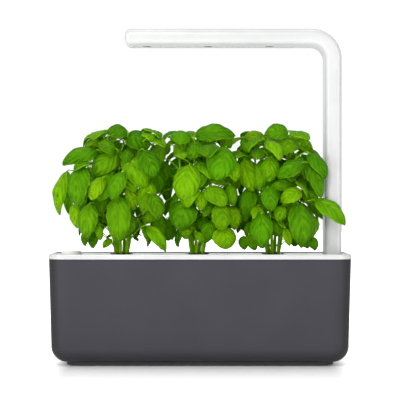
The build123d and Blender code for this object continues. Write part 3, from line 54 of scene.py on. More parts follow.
# Basil leaves. A blade arches over its length with this radius, as a share of the length, and
# its outline is widest a little below the middle.
LEAF_ARCH = 0.9
OVATE_POWER = 0.84
LEAF_BLUNT = 0.58
# What each blade draws for itself, as shares of its length or half width
BLADE_RANGES = {
    "curl": (0.0, 1.0),
    "wave": (0.0, 2 * pi),
    "lean": (-0.03, 0.03),
    "twist": (-0.10, 0.10),
    "ripple": (0.010, 0.026),
    "puff": (0.010, 0.040),
    "pucker": (0.005, 0.011),
    "fold": (-0.05, 0.05),
    "scallop": (0.010, 0.040),
    "blunt": (0.48, 0.70),
}
MIDRIB_DEPTH = 0.018
MIDRIB_WIDTH = 0.13
EDGE_DROOP = 0.030
EDGE_WAVES = 2.1
TWIST_SHARE = 0.35
TIP_CURL = 0.11
CURL_START = 0.66
# Rows and columns of a blade's mesh, by the leaf's greatest length
LEAF_GRIDS = ((0.016, (14, 6)), (0.032, (22, 10)), (1.0, (28, 12)))
LEAF_THICKNESS = 0.0006
LEAF_VEINS = 4.5
VEIN_SWEEP = 0.50
VEIN_BOW = 1.25
# Each leaf's hue and age, by mean and spread, and its shade, by ends
LEAF_HUE = (0.40, 0.30)
LEAF_AGE = (-0.10, 0.42)
LEAF_SHADE = (0.0, 1.1)
# Below the first length a leaf is young and yellower, and from the second on it is dark
YOUNG_LEAF = 0.013
GROWN_LEAF = 0.034
BUD_TINT = (0.8, 0.9, 0.5)

# Gaps that the added leaves keep to their own plant, to the plants beside it, to the post and to
# the lids of the cups beside, also while those are lifted out
LEAF_CLEARANCE = 0.0027
NEIGHBOUR_CLEARANCE = 0.0036
POST_CLEARANCE = 0.0028
LID_CLEARANCE = 0.0026
CUP_LIFT = 0.065

# Leaves in the gaps of the bush, which tapers towards its top and its foot
FILLER_LEAVES = 90
FILLER_TRIES = 3600
FILLER_GAIN = 5
FILLER_LENGTH = (0.018, 0.031)
FILLER_BREADTH = (0.31, 0.39)
FILLER_DROOP = (0.6, 1.3)
FILLER_TURN = 0.7
FILLER_TILT = 0.35
FOLIAGE_REACH = 0.045
FOLIAGE_DEPTH = 0.045
FOLIAGE_LOW = 0.026
FOLIAGE_HIGH = 0.122
OUTER_TAPER = 0.36
INNER_TAPER = 0.08
LOW_TAPER = 0.22
# The cells of the front view that tell where the foliage still has holes
CELL = 0.002

# Small leaves low on the stems, and the crossed pairs of a bud with their length and rise
LOW_LEAVES = 16
LOW_HEIGHT = (0.010, 0.040)
LOW_REACH = (0.003, 0.014)
LOW_LENGTH = (0.006, 0.012)
YOUNG_BREADTH = 0.36
BUD_PAIRS = ((0.013, 0.35), (0.008, 1.1))

# Basil stems
STEM_COUNT = 6
STEM_HEIGHT = 0.096
STEM_FOOT_RING = 0.0054
STEM_TOP_RING = 0.0175
STEM_SPREAD = 0.85
STEM_FOOT_RADIUS = 0.0017
STEM_TOP_RADIUS = 0.0009
STALK_RADIUS = 0.00065
STALK_RISE = 0.65
STALK_LOWEST = 0.006
# Knots: how much thicker the stem is there, how long they are, from one to the next, and from the
# soil to the first. Between them the stem sways by SWAY.
KNOT_RADIUS = 0.00035
KNOT_LENGTH = 0.0022
KNOT_STEP = 0.021
FIRST_KNOT = 0.010
SWAY = 0.0010

# Soil in the cups
SOIL_FOOT_RADIUS = 0.0216
SOIL_RIM_RADIUS = 0.0273
SOIL_CROWN_RADIUS = 0.0126
SOIL_RIM_DROP = 0.0014
SOIL_SIDES = 72
SOIL_RINGS = 25
SOIL_SIDE_GRAIN = 0.0009
SOIL_TOP_GRAIN = 0.0007
CRUMBS = 90
CRUMB_SIZE = (0.0004, 0.0012)

# Felt wicks
WICK_HALF_WIDTH = 0.0059
WICK_HALF_THICKNESS = 0.0014
WICK_SIDES = 40
WICK_ROWS = 46
WICK_FUZZ = 0.09
WICK_FRAY = 0.0008

# Studio. The floor glows, which is painted light, and less round the casing's foot, whose half size
# this is, adding painted shade to the real shade there, which ends that much sooner to the sides than
# to the front. Then come how far the painted shade reaches near the foot and beyond, and how much
# painted light the floor's glow throws up, from farther out to near the casing.
FLOOR_HALF = 9.0
FOOTPRINT = (0.128, 0.055, 0.0)
SHADE_ENDS = (12.0, 1.0, 1.0)
SHADE_NEAR = (0.02, 0.24, 0.0, 0.46)
SHADE_FAR = (0.24, 1.1, 0.0, 0.7)
FLOOR_BOUNCE = (-0.16, -0.075, 0.85, 0.16)
# The white background as the camera sees it, and the light from all around, from the dark flags
# and from straight behind. Each flag ramps up over these ways out.
BACKGROUND = 1.05
LIGHT_AROUND = 0.57
LIGHT_FLAGS = 0.15
LIGHT_BEHIND = 1.05
FLAG_ASIDE = (0.30, 0.50)
FLAG_BACK = (-0.15, 0.10)
FLAG_LOW = (0.55, 0.25)
BEHIND = (0.80, 0.95)
# Area lights by name: place, size and power
LIGHT_AIM = (0.0, 0.0, 0.15)
LIGHTS = {
    "key": ((-0.45, -1.75, 1.35), (0.8, 0.8), 20.5),
    "top": ((0.0, 0.2, 1.9), (1.2, 0.6), 8.0),
    "left": ((-1.8, -1.1, 0.4), (0.4, 1.4), 16.0),
    "right": ((1.75, -1.1, 0.4), (0.4, 1.4), 10.0),
}
CAMERA_PLACE = (0.0, -2.1625, 0.1666)
CAMERA_LENS = 189.8


# Materials

class Nodes:
    """A node tree that grows by calls."""

    def __init__(self, tree):
        self.tree = tree

    def node(self, kind, sockets=None, **properties):
        made = self.tree.nodes.new(kind)
        for name, value in properties.items():
            setattr(made, name, value)
        for socket, value in (sockets or {}).items():
            if isinstance(value, bpy.types.NodeSocket):
                self.tree.links.new(value, made.inputs[socket])
            else:
                made.inputs[socket].default_value = value
        return made

    def math(self, operation, a, b=0.0, c=0.0):
        return self.node("ShaderNodeMath", {0: a, 1: b, 2: c}, operation=operation).outputs[0]

    def range(self, value, low, high, start, end):
        sockets = {"Value": value, "From Min": low, "From Max": high, "To Min": start, "To Max": end}
        return self.node("ShaderNodeMapRange", sockets).outputs[0]


class Paint(Nodes):
    """One material, put together from procedural nodes."""

    def __init__(self, name, **values):
        self.material = bpy.data.materials.new(name)
        self.material.use_nodes = True
        super().__init__(self.material.node_tree)
        self.shader = self.tree.nodes["Principled BSDF"]
        for socket, value in values.items():
            self.feed(socket.replace("_", " "), value)
        self.place = self.node("ShaderNodeTexCoord").outputs["Object"]
        self.relief = None

    def feed(self, socket, value):
        if isinstance(value, bpy.types.NodeSocket):
            self.tree.links.new(value, self.shader.inputs[socket])
        elif socket in ("Base Color", "Emission Color"):
            self.shader.inputs[socket].default_value = (*value, 1.0)
        else:
            self.shader.inputs[socket].default_value = value

    def noise(self, scale, detail=3.0, stretch=(1, 1, 1), rough=0.5):
        place = self.node("ShaderNodeMapping", {"Vector": self.place, "Scale": stretch}).outputs[0]
        sockets = {"Vector": place, "Scale": scale, "Detail": detail, "Roughness": rough}
        return self.node("ShaderNodeTexNoise", sockets).outputs["Fac"]

    def cells(self, scale, feature="F1", stretch=(1, 1, 1)):
        place = self.node("ShaderNodeMapping", {"Vector": self.place, "Scale": stretch}).outputs[0]
        made = self.node("ShaderNodeTexVoronoi", {"Vector": place, "Scale": scale}, feature=feature)
        return made.outputs["Distance"]

    def mix(self, share, first, second):
        made = self.node("ShaderNodeMix", {0: share}, data_type="RGBA")
        for socket, value in ((6, first), (7, second)):
            if isinstance(value, bpy.types.NodeSocket):
                self.tree.links.new(value, made.inputs[socket])
            else:
                made.inputs[socket].default_value = (*value, 1.0)
        return made.outputs[2]

    def bump(self, height, strength, distance):
        sockets = {"Height": height, "Strength": strength, "Distance": distance}
        if self.relief:
            sockets["Normal"] = self.relief
        self.relief = self.node("ShaderNodeBump", sockets).outputs[0]
        self.tree.links.new(self.relief, self.shader.inputs["Normal"])


def plastic(name, colour, roughness, grain=2200.0, depth=0.00004, spread=0.06, edge=0.0, **values):
    """Moulded plastic: a fine spark-eroded grain, faint flow marks and a slightly uneven gloss. With
    edge, the colour gets painted shade where the surface turns away from the view."""
    paint = Paint(name, **values)
    cloud = paint.noise(22.0, 4.0)
    darker = [0.93 * c for c in colour]
    lighter = [min(1.0, 1.05 * c) for c in colour]
    tone = paint.mix(paint.range(cloud, 0.3, 0.7, 0.0, 1.0), darker, lighter)
    if edge:
        # Painted edge shade: the colour darkens where the surface turns away from the view
        facing_for_painted_light = paint.node("ShaderNodeLayerWeight", {"Blend": 0.5}).outputs["Facing"]
        tone = paint.mix(paint.range(facing_for_painted_light, 0.03, 0.60, 0.0, edge), tone, [0.1 * c for c in colour])
    paint.feed("Base Color", tone)
    smear = paint.noise(70.0, 5.0, (1.0, 1.0, 0.4))
    paint.feed("Roughness", paint.range(smear, 0.25, 0.75, roughness - spread, roughness + spread))
    paint.bump(paint.noise(grain, 4.0), 0.35, depth)
    paint.bump(paint.noise(90.0, 2.0), 0.12, 5.0 * depth)
    return paint.material


def metal(name, colour, roughness, stretch, **values):
    """Metal with fine brush marks drawn out along one way."""
    paint = Paint(name, Metallic=1.0, **values)
    strokes = paint.noise(3000.0, 4.0, stretch)
    stain = paint.noise(60.0, 4.0)
    stain = paint.range(stain, 0.3, 0.7, 0.0, 1.0)
    paint.feed("Base Color", paint.mix(stain, [0.86 * c for c in colour], colour))
    paint.feed("Roughness", paint.range(strokes, 0.3, 0.7, roughness - 0.08, roughness + 0.1))
    paint.bump(strokes, 0.4, 0.00002)
    return paint.material


def rubber(name):
    """Black rubber, dull with dust."""
    paint = Paint(name, Specular_IOR_Level=0.35)
    dust = paint.range(paint.noise(240.0, 6.0), 0.45, 0.75, 0.0, 1.0)
    paint.feed("Base Color", paint.mix(dust, (0.022, 0.022, 0.022), (0.06, 0.058, 0.055)))
    paint.feed("Roughness", paint.range(dust, 0.0, 1.0, 0.72, 0.9))
    paint.bump(paint.noise(1800.0, 3.0), 0.5, 0.0001)
    return paint.material


def circuit(name):
    """Green solder resist over copper runs, with a fine weave of glass under it."""
    paint = Paint(name, Coat_Weight=0.3, Coat_Roughness=0.15)
    runs = paint.cells(260.0, "DISTANCE_TO_EDGE", (1.0, 1.0, 0.6))
    copper = paint.range(runs, 0.05, 0.09, 1.0, 0.0)
    paint.feed("Base Color", paint.mix(copper, (0.012, 0.14, 0.05), (0.03, 0.26, 0.08)))
    paint.feed("Roughness", paint.range(paint.noise(500.0), 0.3, 0.7, 0.28, 0.42))
    paint.bump(copper, 0.3, 0.00006)
    paint.bump(paint.noise(4000.0, 2.0), 0.15, 0.00002)
    return paint.material


def foam(name):
    """Closed beads of expanded foam, pressed together."""
    paint = Paint(name)
    beads = paint.cells(420.0, "DISTANCE_TO_EDGE")
    seams = paint.range(beads, 0.0, 0.16, 0.0, 1.0)
    paint.feed("Base Color", paint.mix(seams, (0.56, 0.56, 0.53), (0.80, 0.80, 0.77)))
    paint.feed("Roughness", paint.range(seams, 0.0, 1.0, 0.95, 0.7))
    paint.bump(seams, 0.6, 0.0003)
    return paint.material


def lens(name):
    """Smoked clear plastic with a fine honeycomb."""
    paint = Paint(
        name, Base_Color=(0.05, 0.05, 0.045), Transmission_Weight=0.25, IOR=1.12, Specular_IOR_Level=0.05
    )
    paint.feed("Roughness", paint.range(paint.noise(300.0), 0.3, 0.7, 0.12, 0.22))
    paint.bump(paint.cells(1500.0), 0.2, 0.00008)
    return paint.material


def phosphor(name):
    """The yellow grains over a light chip, under a clear drop."""
    paint = Paint(name, Coat_Weight=0.5)
    grains = paint.noise(5000.0, 5.0)
    yellow = paint.mix(paint.range(grains, 0.35, 0.65, 0, 1), (0.75, 0.56, 0.10), (0.95, 0.80, 0.25))
    paint.feed("Base Color", yellow)
    paint.feed("Roughness", paint.range(grains, 0.3, 0.7, 0.3, 0.5))
    return paint.material


def insulation(name):
    """Red wire jackets, matted where they were handled."""
    paint = Paint(name)
    marks = paint.noise(900.0, 3.0, (1.0, 1.0, 0.3))
    red = paint.mix(paint.range(marks, 0.4, 0.6, 0, 1), (0.34, 0.02, 0.02), (0.48, 0.04, 0.035))
    paint.feed("Base Color", red)
    paint.feed("Roughness", paint.range(marks, 0.3, 0.7, 0.35, 0.5))
    paint.bump(marks, 0.2, 0.00005)
    return paint.material


def felt(name):
    """Needled felt: short fibres laid every way, with a soft sheen."""
    paint = Paint(name, Sheen_Weight=0.4, Sheen_Roughness=0.6, Specular_IOR_Level=0.15)
    across = paint.noise(900.0, 5.0, (4.0, 1.0, 0.6), 0.7)
    along = paint.noise(1100.0, 5.0, (0.7, 1.0, 4.0), 0.7)
    fibres = paint.math("MAXIMUM", across, along)
    wool = paint.mix(paint.range(fibres, 0.45, 0.7, 0, 1), (0.55, 0.53, 0.47), (0.85, 0.84, 0.80))
    paint.feed("Base Color", wool)
    paint.feed("Roughness", paint.range(fibres, 0.4, 0.7, 0.95, 0.8))
    paint.bump(fibres, 0.9, 0.0004)
    return paint.material


def earth(name):
    """Damp potting soil: dark crumbs, fibres and a few pale grains."""
    paint = Paint(name, Specular_IOR_Level=0.25)
    lumps = paint.noise(420.0, 8.0, rough=0.7)
    damp = paint.noise(45.0, 3.0)
    pale = paint.range(paint.cells(700.0), 0.0, 0.16, 1.0, 0.0)
    crumb = paint.mix(paint.range(lumps, 0.35, 0.7, 0, 1), (0.014, 0.009, 0.006), (0.085, 0.05, 0.03))
    crumb = paint.mix(paint.range(damp, 0.4, 0.6, 0.0, 0.5), crumb, (0.03, 0.018, 0.011))
    paint.feed("Base Color", paint.mix(paint.math("MULTIPLY", pale, 0.5), crumb, (0.28, 0.22, 0.15)))
    paint.feed("Roughness", paint.range(damp, 0.35, 0.65, 0.95, 0.6))
    paint.bump(lumps, 1.0, 0.0012)
    return paint.material


def stem_skin(name):
    """Juicy green stems with painted light towards the soil, and fine grooves along them."""
    paint = Paint(name, Specular_IOR_Level=0.3, Specular_Tint=(0.7, 1.0, 0.25, 1.0))
    height = paint.node("ShaderNodeSeparateXYZ", {0: paint.place}).outputs[2]
    # Painted light: the stems are made lighter towards the soil, where the leaves shade them
    low = paint.range(height, 0.112, 0.160, 0.9, 0.0)
    mottle = paint.noise(260.0, 4.0)
    green = paint.mix(paint.range(mottle, 0.3, 0.7, 0, 1), (0.18, 0.50, 0.006), (0.38, 0.80, 0.014))
    green = paint.mix(low, green, (0.52, 0.96, 0.02))
    paint.feed("Base Color", green)
    paint.feed("Roughness", paint.range(mottle, 0.3, 0.7, 0.36, 0.52))
    paint.bump(paint.noise(1500.0, 3.0, (1.0, 1.0, 0.12)), 0.5, 0.0002)
    glow = paint.node("ShaderNodeBsdfTranslucent", {"Color": green})
    both = paint.node("ShaderNodeMixShader", {0: 0.30, 1: paint.shader.outputs[0], 2: glow.outputs[0]})
    paint.tree.links.new(both.outputs[0], paint.tree.nodes["Material Output"].inputs["Surface"])
    return paint.material


def leaf_skin(name):
    """Basil leaf: glossy and puckered between pale sunken veins, letting light through."""
    paint = Paint(name, Specular_IOR_Level=0.50, Specular_Tint=(0.68, 1.0, 0.08, 1.0))
    blade = paint.node("ShaderNodeUVMap", uv_map="blade").outputs[0]
    spot = paint.node("ShaderNodeSeparateXYZ", {0: blade}).outputs
    along, side = spot[0], paint.math("ABSOLUTE", spot[1])
    tint = paint.node("ShaderNodeVertexColor", layer_name="tint").outputs[0]
    hue, shade, age = paint.node("ShaderNodeSeparateColor", {0: tint}).outputs

    bent = paint.math("MULTIPLY", paint.math("POWER", side, VEIN_BOW), VEIN_SWEEP)
    wander = paint.range(paint.noise(70.0, 2.0), 0.3, 0.7, -0.10, 0.10)
    panel = paint.math("SUBTRACT", along, bent)
    order = paint.math("MULTIPLY_ADD", panel, LEAF_VEINS, wander)
    off_vein = paint.math("PINGPONG", order, 0.5)
    inner = paint.range(side, 0.72, 1.0, 1.0, 0.1)
    side_vein = paint.math("MULTIPLY", paint.range(off_vein, 0.0, 0.05, 1.0, 0.0), inner)
    midrib = paint.range(side, 0.0, 0.06, 1.0, 0.0)
    veins = paint.math("MAXIMUM", side_vein, midrib)
    net = paint.cells(620.0, "DISTANCE_TO_EDGE")
    mesh = paint.range(net, 0.0, 0.12, 1.0, 0.0)

    cloud = paint.range(paint.noise(85.0, 5.0), 0.30, 0.70, 0.0, 1.0)
    # Streaks along the side veins, also used as bumps: in the colour they are painted highlights and
    # painted shade on the puffed panels between the veins
    own = paint.math("MULTIPLY", shade, 60.0)
    narrow = paint.math("MULTIPLY", spot[1], 0.45)
    streak_place = paint.node("ShaderNodeCombineXYZ", {0: panel, 1: narrow, 2: own}).outputs[0]
    sockets = {"Vector": streak_place, "Scale": 5.5, "Detail": 3.0}
    streaks = paint.node("ShaderNodeTexNoise", sockets).outputs["Fac"]
    streaks = paint.range(streaks, 0.32, 0.68, 0.0, 1.0)
    # Painted light along the midrib and painted shade towards the margin
    centre = paint.range(side, 0.25, 1.0, 0.16, -0.14)
    bright = paint.math("MULTIPLY_ADD", streaks, 0.55, paint.math("MULTIPLY_ADD", cloud, 0.22, centre))
    bright = paint.math("MULTIPLY_ADD", shade, 0.60, paint.math("SUBTRACT", bright, 0.15))
    dark = paint.mix(hue, (0.011, 0.110, 0.0002), (0.042, 0.185, 0.0003))
    light = paint.mix(hue, (0.075, 0.345, 0.0007), (0.265, 0.580, 0.0018))
    green = paint.mix(bright, dark, light)
    green = paint.mix(paint.math("MULTIPLY", mesh, 0.10), green, (0.24, 0.52, 0.003))
    green = paint.mix(paint.math("MULTIPLY", veins, 0.44), green, (0.36, 0.64, 0.014))
    # A painted light rim along the leaf's edge
    green = paint.mix(paint.range(side, 0.92, 1.0, 0.0, 0.5), green, (0.38, 0.66, 0.010))
    green = paint.mix(paint.math("MULTIPLY", age, 0.8), green, (0.42, 0.70, 0.003))
    paint.feed("Base Color", green)
    paint.feed("Roughness", paint.range(paint.noise(130.0, 5.0), 0.3, 0.7, 0.25, 0.42))
    pillow = paint.math("MULTIPLY", paint.range(off_vein, 0.0, 0.5, 0.0, 1.0), inner)
    paint.bump(pillow, 0.85, 0.0011)
    paint.bump(paint.math("SUBTRACT", 1.0, midrib), 0.9, 0.0008)
    paint.bump(streaks, 0.45, 0.0010)
    paint.bump(paint.range(net, 0.0, 0.35, 0.0, 1.0), 0.5, 0.00035)
    paint.bump(paint.noise(260.0, 3.0), 0.45, 0.0006)

    through = paint.mix(0.55, green, (0.42, 0.92, 0.001))
    glow = paint.node("ShaderNodeBsdfTranslucent", {"Color": through})
    both = paint.node("ShaderNodeMixShader", {0: 0.42, 1: paint.shader.outputs[0], 2: glow.outputs[0]})
    end = paint.tree.nodes["Material Output"]
    paint.tree.links.new(both.outputs[0], end.inputs["Surface"])
    return paint.material


def floor_skin(name):
    """White studio paper with a painted glow away from the garden, which throws painted light up at it.
    """
    paint = Paint(name, Specular_IOR_Level=0.3)
    fibre = paint.noise(60.0, 5.0)
    paint.feed("Base Color", paint.mix(fibre, (0.92, 0.92, 0.92), (0.95, 0.95, 0.95)))
    paint.feed("Roughness", paint.range(fibre, 0.3, 0.7, 0.30, 0.36))
    away, nowhere = paint.place, (0.0, 0.0, 0.0)
    for operation, other in (
        ("ABSOLUTE", nowhere), ("SUBTRACT", FOOTPRINT), ("MAXIMUM", nowhere), ("MULTIPLY", SHADE_ENDS)
    ):
        away = paint.node("ShaderNodeVectorMath", {0: away, 1: other}, operation=operation).outputs[0]
    away = paint.node("ShaderNodeVectorMath", {0: away}, operation="LENGTH").outputs["Value"]
    seen = paint.node("ShaderNodeLightPath").outputs["Is Camera Ray"]
    # The glow is painted light: for the camera it whitens the floor away from the foot, and for other
    # rays it throws light up at the casing
    paint.feed("Emission Color", (1.0, 1.0, 1.0))
    near, far = paint.range(away, *SHADE_NEAR), paint.range(away, *SHADE_FAR)
    front = paint.node("ShaderNodeSeparateXYZ", {0: paint.place}).outputs[1]
    bounce = paint.range(front, *FLOOR_BOUNCE)
    shown = paint.math("SUBTRACT", paint.math("ADD", near, far), bounce)
    paint.feed("Emission Strength", paint.math("MULTIPLY_ADD", seen, shown, bounce))
    return paint.material


white_gloss = plastic(
    "lamp_white", (0.53, 0.53, 0.535), 0.30, depth=0.000015, spread=0.025, Coat_Weight=0.25,
    Coat_Roughness=0.2
)
white_satin = plastic(
    "tray_white", (0.53, 0.535, 0.525), 0.42, Specular_IOR_Level=0.4, Coat_Weight=0.8, Coat_Roughness=0.1
)
black_satin = plastic("inner_black", (0.020, 0.020, 0.022), 0.45, Specular_IOR_Level=0.04)
brass = metal("contact_brass", (0.74, 0.55, 0.24), 0.25, (1.0, 1.0, 0.05))
steel = metal("steel_screw", (0.56, 0.56, 0.57), 0.30, (1.0, 0.08, 1.0))
LOOKS = {
    # The casing gets painted edge shade (edge=0.6) where it turns away from the view
    "casing_grey": plastic(
        "casing_grey", (0.0425, 0.0410, 0.0490), 0.42, depth=0.00006, edge=0.6, Specular_IOR_Level=0.12
    ),
    "plinth_black": plastic("plinth_black", (0.026, 0.025, 0.030), 0.55),
    "foot_rubber": rubber("foot_rubber"),
    "steel_screw": steel,
    "tank_plastic": plastic("tank_plastic", (0.50, 0.51, 0.52), 0.38),
    "tray_white": white_satin,
    "lamp_white": white_gloss,
    "float_white": plastic("float_white", (0.78, 0.78, 0.755), 0.36, depth=0.00003),
    "foam": foam("foam"),
    "cup_black": plastic("cup_black", (0.035, 0.035, 0.036), 0.46),
    "inner_black": black_satin,
    "contact_brass": brass,
    "circuit_board": circuit("circuit_board"),
    "chip_black": plastic("chip_black", (0.02, 0.02, 0.021), 0.6),
    "light_chip": phosphor("light_chip"),
    "lens_clear": lens("lens_clear"),
    "sink_aluminium": metal("sink_aluminium", (0.80, 0.81, 0.82), 0.32, (0.04, 1.0, 1.0)),
    "wire_jacket": insulation("wire_jacket"),
    "soil": earth("soil"),
    "felt": felt("felt"),
    "basil_stem": stem_skin("basil_stem"),
    "basil_leaf": leaf_skin("basil_leaf"),
}
for part in frame["record"]["subparts"]:
    mesh = nodes[part["node"]].data
    mesh.materials.clear()
    mesh.materials.append(LOOKS[part["material_slot"]])


# Mesh pieces

class Piece:
    """A closed mesh that grows by solids, each with its own UV and tint values."""

    def __init__(self):
        self.points, self.faces, self.spots, self.tints = [], [], [], []

    def add(self, points, faces, spots=None, tint=(0.0, 0.0, 0.0)):
        start = len(self.points)
        self.points += [tuple(map(float, p)) for p in points]
        self.faces += [[start + i for i in face] for face in faces]
        self.spots += list(spots) if spots is not None else [(0.0, 0.0)] * len(points)
        self.tints += [(*tint, 1.0)] * len(points)

    def build(self, name, slot, body, *replaced):
        mesh = bpy.data.meshes.new(name)
        mesh.from_pydata(self.points, [], self.faces)
        layer = mesh.uv_layers.new(name="blade")
        for loop in mesh.loops:
            layer.data[loop.index].uv = self.spots[loop.vertex_index]
        tint = mesh.color_attributes.new("tint", "FLOAT_COLOR", "POINT")
        tint.data.foreach_set("color", np.array(self.tints, np.float32).ravel())
        mesh.polygons.foreach_set("use_smooth", [True] * len(mesh.polygons))
        mesh.materials.append(LOOKS[slot])
        made = bpy.data.objects.new(name, mesh)
        bpy.context.scene.collection.objects.link(made)
        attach(made, body)
        if replaced:
            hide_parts(*replaced)
        return made


def unit(vector):
    return vector / np.linalg.norm(vector)


def ring_faces(rings, sides, down=False):
    """The faces round a stack of rings of points, and one over each end. They look outwards in a
    stack that rises, or with down in one that goes down."""
    faces = []
    for ring in range(rings - 1):
        for k in range(sides):
            a, b = ring * sides + k, ring * sides + (k + 1) % sides
            faces.append((a, a + sides, b + sides, b) if down else (a, b, b + sides, a + sides))
    first, last = list(range(sides)), [(rings - 1) * sides + k for k in range(sides)]
    return faces + ([first, last[::-1]] if down else [first[::-1], last])


def tube(piece, path, radii, sides):
    """A round tube along a path, closed at both ends."""
    path = np.array(path)
    ways = np.gradient(path, axis=0)
    across = unit(np.cross(unit(ways[0]), (0.31, 0.95, 0.05)))
    points = []
    for place, way, radius in zip(path, ways, radii):
        way = unit(way)
        across = unit(across - way * across.dot(way))
        other = np.cross(way, across)
        for k in range(sides):
            turn = 2 * pi * k / sides
            points.append(place + radius * (cos(turn) * across + sin(turn) * other))
    piece.add(points, ring_faces(len(path), sides))


def bezier(a, b, c, d, count):
    """Points along a cubic curve."""
    return [
        (1 - t) ** 3 * a + 3 * (1 - t) ** 2 * t * b + 3 * (1 - t) * t**2 * c + t**3 * d
        for t in np.linspace(0, 1, count)
    ]


# Basil leaves

class Blade:
    """A leaf's place: its stalk end, its length and half width, its frame, and how blunt it is."""

    def __init__(self, base, tip, outward, half_width):
        self.base = np.array(base, float)
        along = np.array(tip, float) - self.base
        self.length = float(np.linalg.norm(along))
        self.along = unit(along)
        outward = np.array(outward, float)
        self.normal = unit(outward - self.along * outward.dot(self.along))
        self.across = np.cross(self.normal, self.along)
        self.half_width = half_width
        self.blunt = LEAF_BLUNT

    def at(self, u, v, lift=0.0):
        """Points of the blade: u runs from stalk to tip, v from edge to edge."""
        u, v, lift = (np.asarray(value, float)[..., None] for value in (u, v, lift))
        radius = LEAF_ARCH * self.length
        x = (u - 0.5) * self.length
        y = v * self.half_width * np.sin(pi * np.clip(u, 0.003, 0.997) ** OVATE_POWER) ** self.blunt
        rise = np.sqrt(radius**2 - x * x - y * y) - sqrt(radius**2 - self.length**2 / 4)
        return self.base + self.along * u * self.length + self.across * y + self.normal * (rise + lift)

    def marks(self, rows=7, columns=5):
        """Points over the blade, to tell how near another one comes."""
        along, across = np.linspace(0.02, 0.98, rows), np.linspace(-0.95, 0.95, columns)
        u, v = np.meshgrid(along, across, indexing="ij")
        return self.at(u.ravel(), v.ravel())


def cad_blades(node):
    """The places of the leaves that a CAD node holds. Each leaf has a front, a back and two edge faces,
    and the edge faces meet at its stalk end and its tip."""
    mesh = node.data
    co = np.zeros(len(mesh.vertices) * 3)
    mesh.vertices.foreach_get("co", co)
    co = co.reshape(-1, 3)
    parent = list(range(len(co)))

    def root(i):
        while parent[i] != i:
            parent[i] = parent[parent[i]]
            i = parent[i]
        return i

    for edge in mesh.edges:
        parent[root(edge.vertices[0])] = root(edge.vertices[1])
    face_of = [root(i) for i in range(len(co))]
    corner = {}
    for i, place in enumerate(np.round(co, 6)):
        first = corner.setdefault(tuple(place), i)
        parent[root(i)] = root(first)
    leaves = {}
    for i, face in enumerate(face_of):
        leaves.setdefault(root(i), {}).setdefault(face, []).append(i)
    blades = []
    for faces in leaves.values():
        first_edge, second_edge, *sheets = sorted(faces.values(), key=len)
        first, second = ({tuple(p) for p in np.round(co[at], 6)} for at in (first_edge, second_edge))
        shared = np.array(sorted(first & second))
        far = np.linalg.norm(shared - shared[0], axis=1) > 0.004
        ends = [shared[~far].mean(axis=0), shared[far].mean(axis=0)]
        edge = co[first_edge + second_edge]
        sheet = co[sheets[0]]
        middle = edge.mean(axis=0)
        along = unit(ends[1] - ends[0])
        offset = edge - ends[0]
        reach = offset @ along
        side = np.linalg.norm(offset - np.outer(reach, along), axis=1)
        widest = reach[np.argsort(side)[-12:]].mean()
        length = np.linalg.norm(ends[1] - ends[0])
        if widest > length / 2:
            ends.reverse()
        chord = (ends[0] + ends[1]) / 2
        central = np.linalg.norm(sheet - sheet.mean(axis=0), axis=1).argsort()[:6]
        bulge = sheet[central].mean(axis=0) - chord
        across = unit(np.cross(bulge, ends[1] - ends[0]))
        half_width = float(np.abs((edge - chord) @ across).max())
        blades.append(Blade(ends[0], ends[1], bulge, half_width))
    return blades


def grow_blade(piece, blade, chance, tint):
    """A leaf's mesh: two sheets that meet round the edge, arched, puffed up beside the midrib,
    puckered and a little wavy."""
    length = blade.length
    rows, columns = next(grid for longest, grid in LEAF_GRIDS if length < longest)
    own = (chance.uniform(*ends) for ends in BLADE_RANGES.values())
    curl, wave, lean, twist, ripple, puff, pucker, fold, scallop, blade.blunt = own
    along, across = np.linspace(0.004, 0.996, rows + 1), np.sin(np.linspace(-1, 1, columns + 1) * pi / 2)
    u, v = (value.ravel() for value in np.meshgrid(along, across, indexing="ij"))
    side = abs(v)
    order = LEAF_VEINS * (u - VEIN_SWEEP * side**VEIN_BOW)
    fade = np.minimum(1.0, np.minimum(4 * u, 5 * (1 - u)))
    lift = -pucker * np.cos(2 * pi * order) * (1 - side**3) * np.minimum(1.0, 6 * side) * fade
    lift += puff * (1 - (2 * side - 1) ** 2) * fade
    lift -= MIDRIB_DEPTH * np.exp(-((v / MIDRIB_WIDTH) ** 2)) * (1 - 0.7 * u)
    lift -= EDGE_DROOP * side**3
    lift += fold * side
    lift += ripple * v * v * np.sin(2 * pi * EDGE_WAVES * u + wave + 1.3 * (v > 0))
    lift += TWIST_SHARE * twist * v * (u - 0.4)
    lift -= TIP_CURL * curl * (np.maximum(0.0, u - CURL_START) / (1 - CURL_START)) ** 2
    thick = 0.5 * LEAF_THICKNESS * np.where(side > 0.2, 1.0, 1.35 - 0.35 * u)
    shifted = v + lean * np.sin(pi * u) * (1 - side)
    shifted *= 1 - scallop * side**4 * (1 + np.cos(2 * pi * order + wave))
    sheets = np.concatenate([blade.at(u, shifted, lift * length + face * thick) for face in (1, -1)])
    wide, tall = columns + 1, rows + 1
    half = wide * tall
    faces = []
    for r in range(rows):
        for c in range(columns):
            a, b = r * wide + c, r * wide + c + 1
            faces.append((a + wide, b + wide, b, a))
            faces.append((half + b, half + b + wide, half + a + wide, half + a))
    for r in range(rows):
        for c, turn in ((0, -1), (columns, 1)):
            a = r * wide + c
            faces.append((a, a + wide, half + a + wide, half + a)[::turn])
    for c in range(columns):
        for r, turn in ((0, 1), (rows, -1)):
            a = r * wide + c
            faces.append((a, a + 1, half + a + 1, half + a)[::turn])
    piece.add(sheets, faces, np.tile(np.stack([u, v], axis=1), (2, 1)), tint)


def nearest(points, others):
    """The least distance between two sets of points."""
    return sqrt(((points[:, None, :] - others[None, :, :]) ** 2).sum(-1).min())


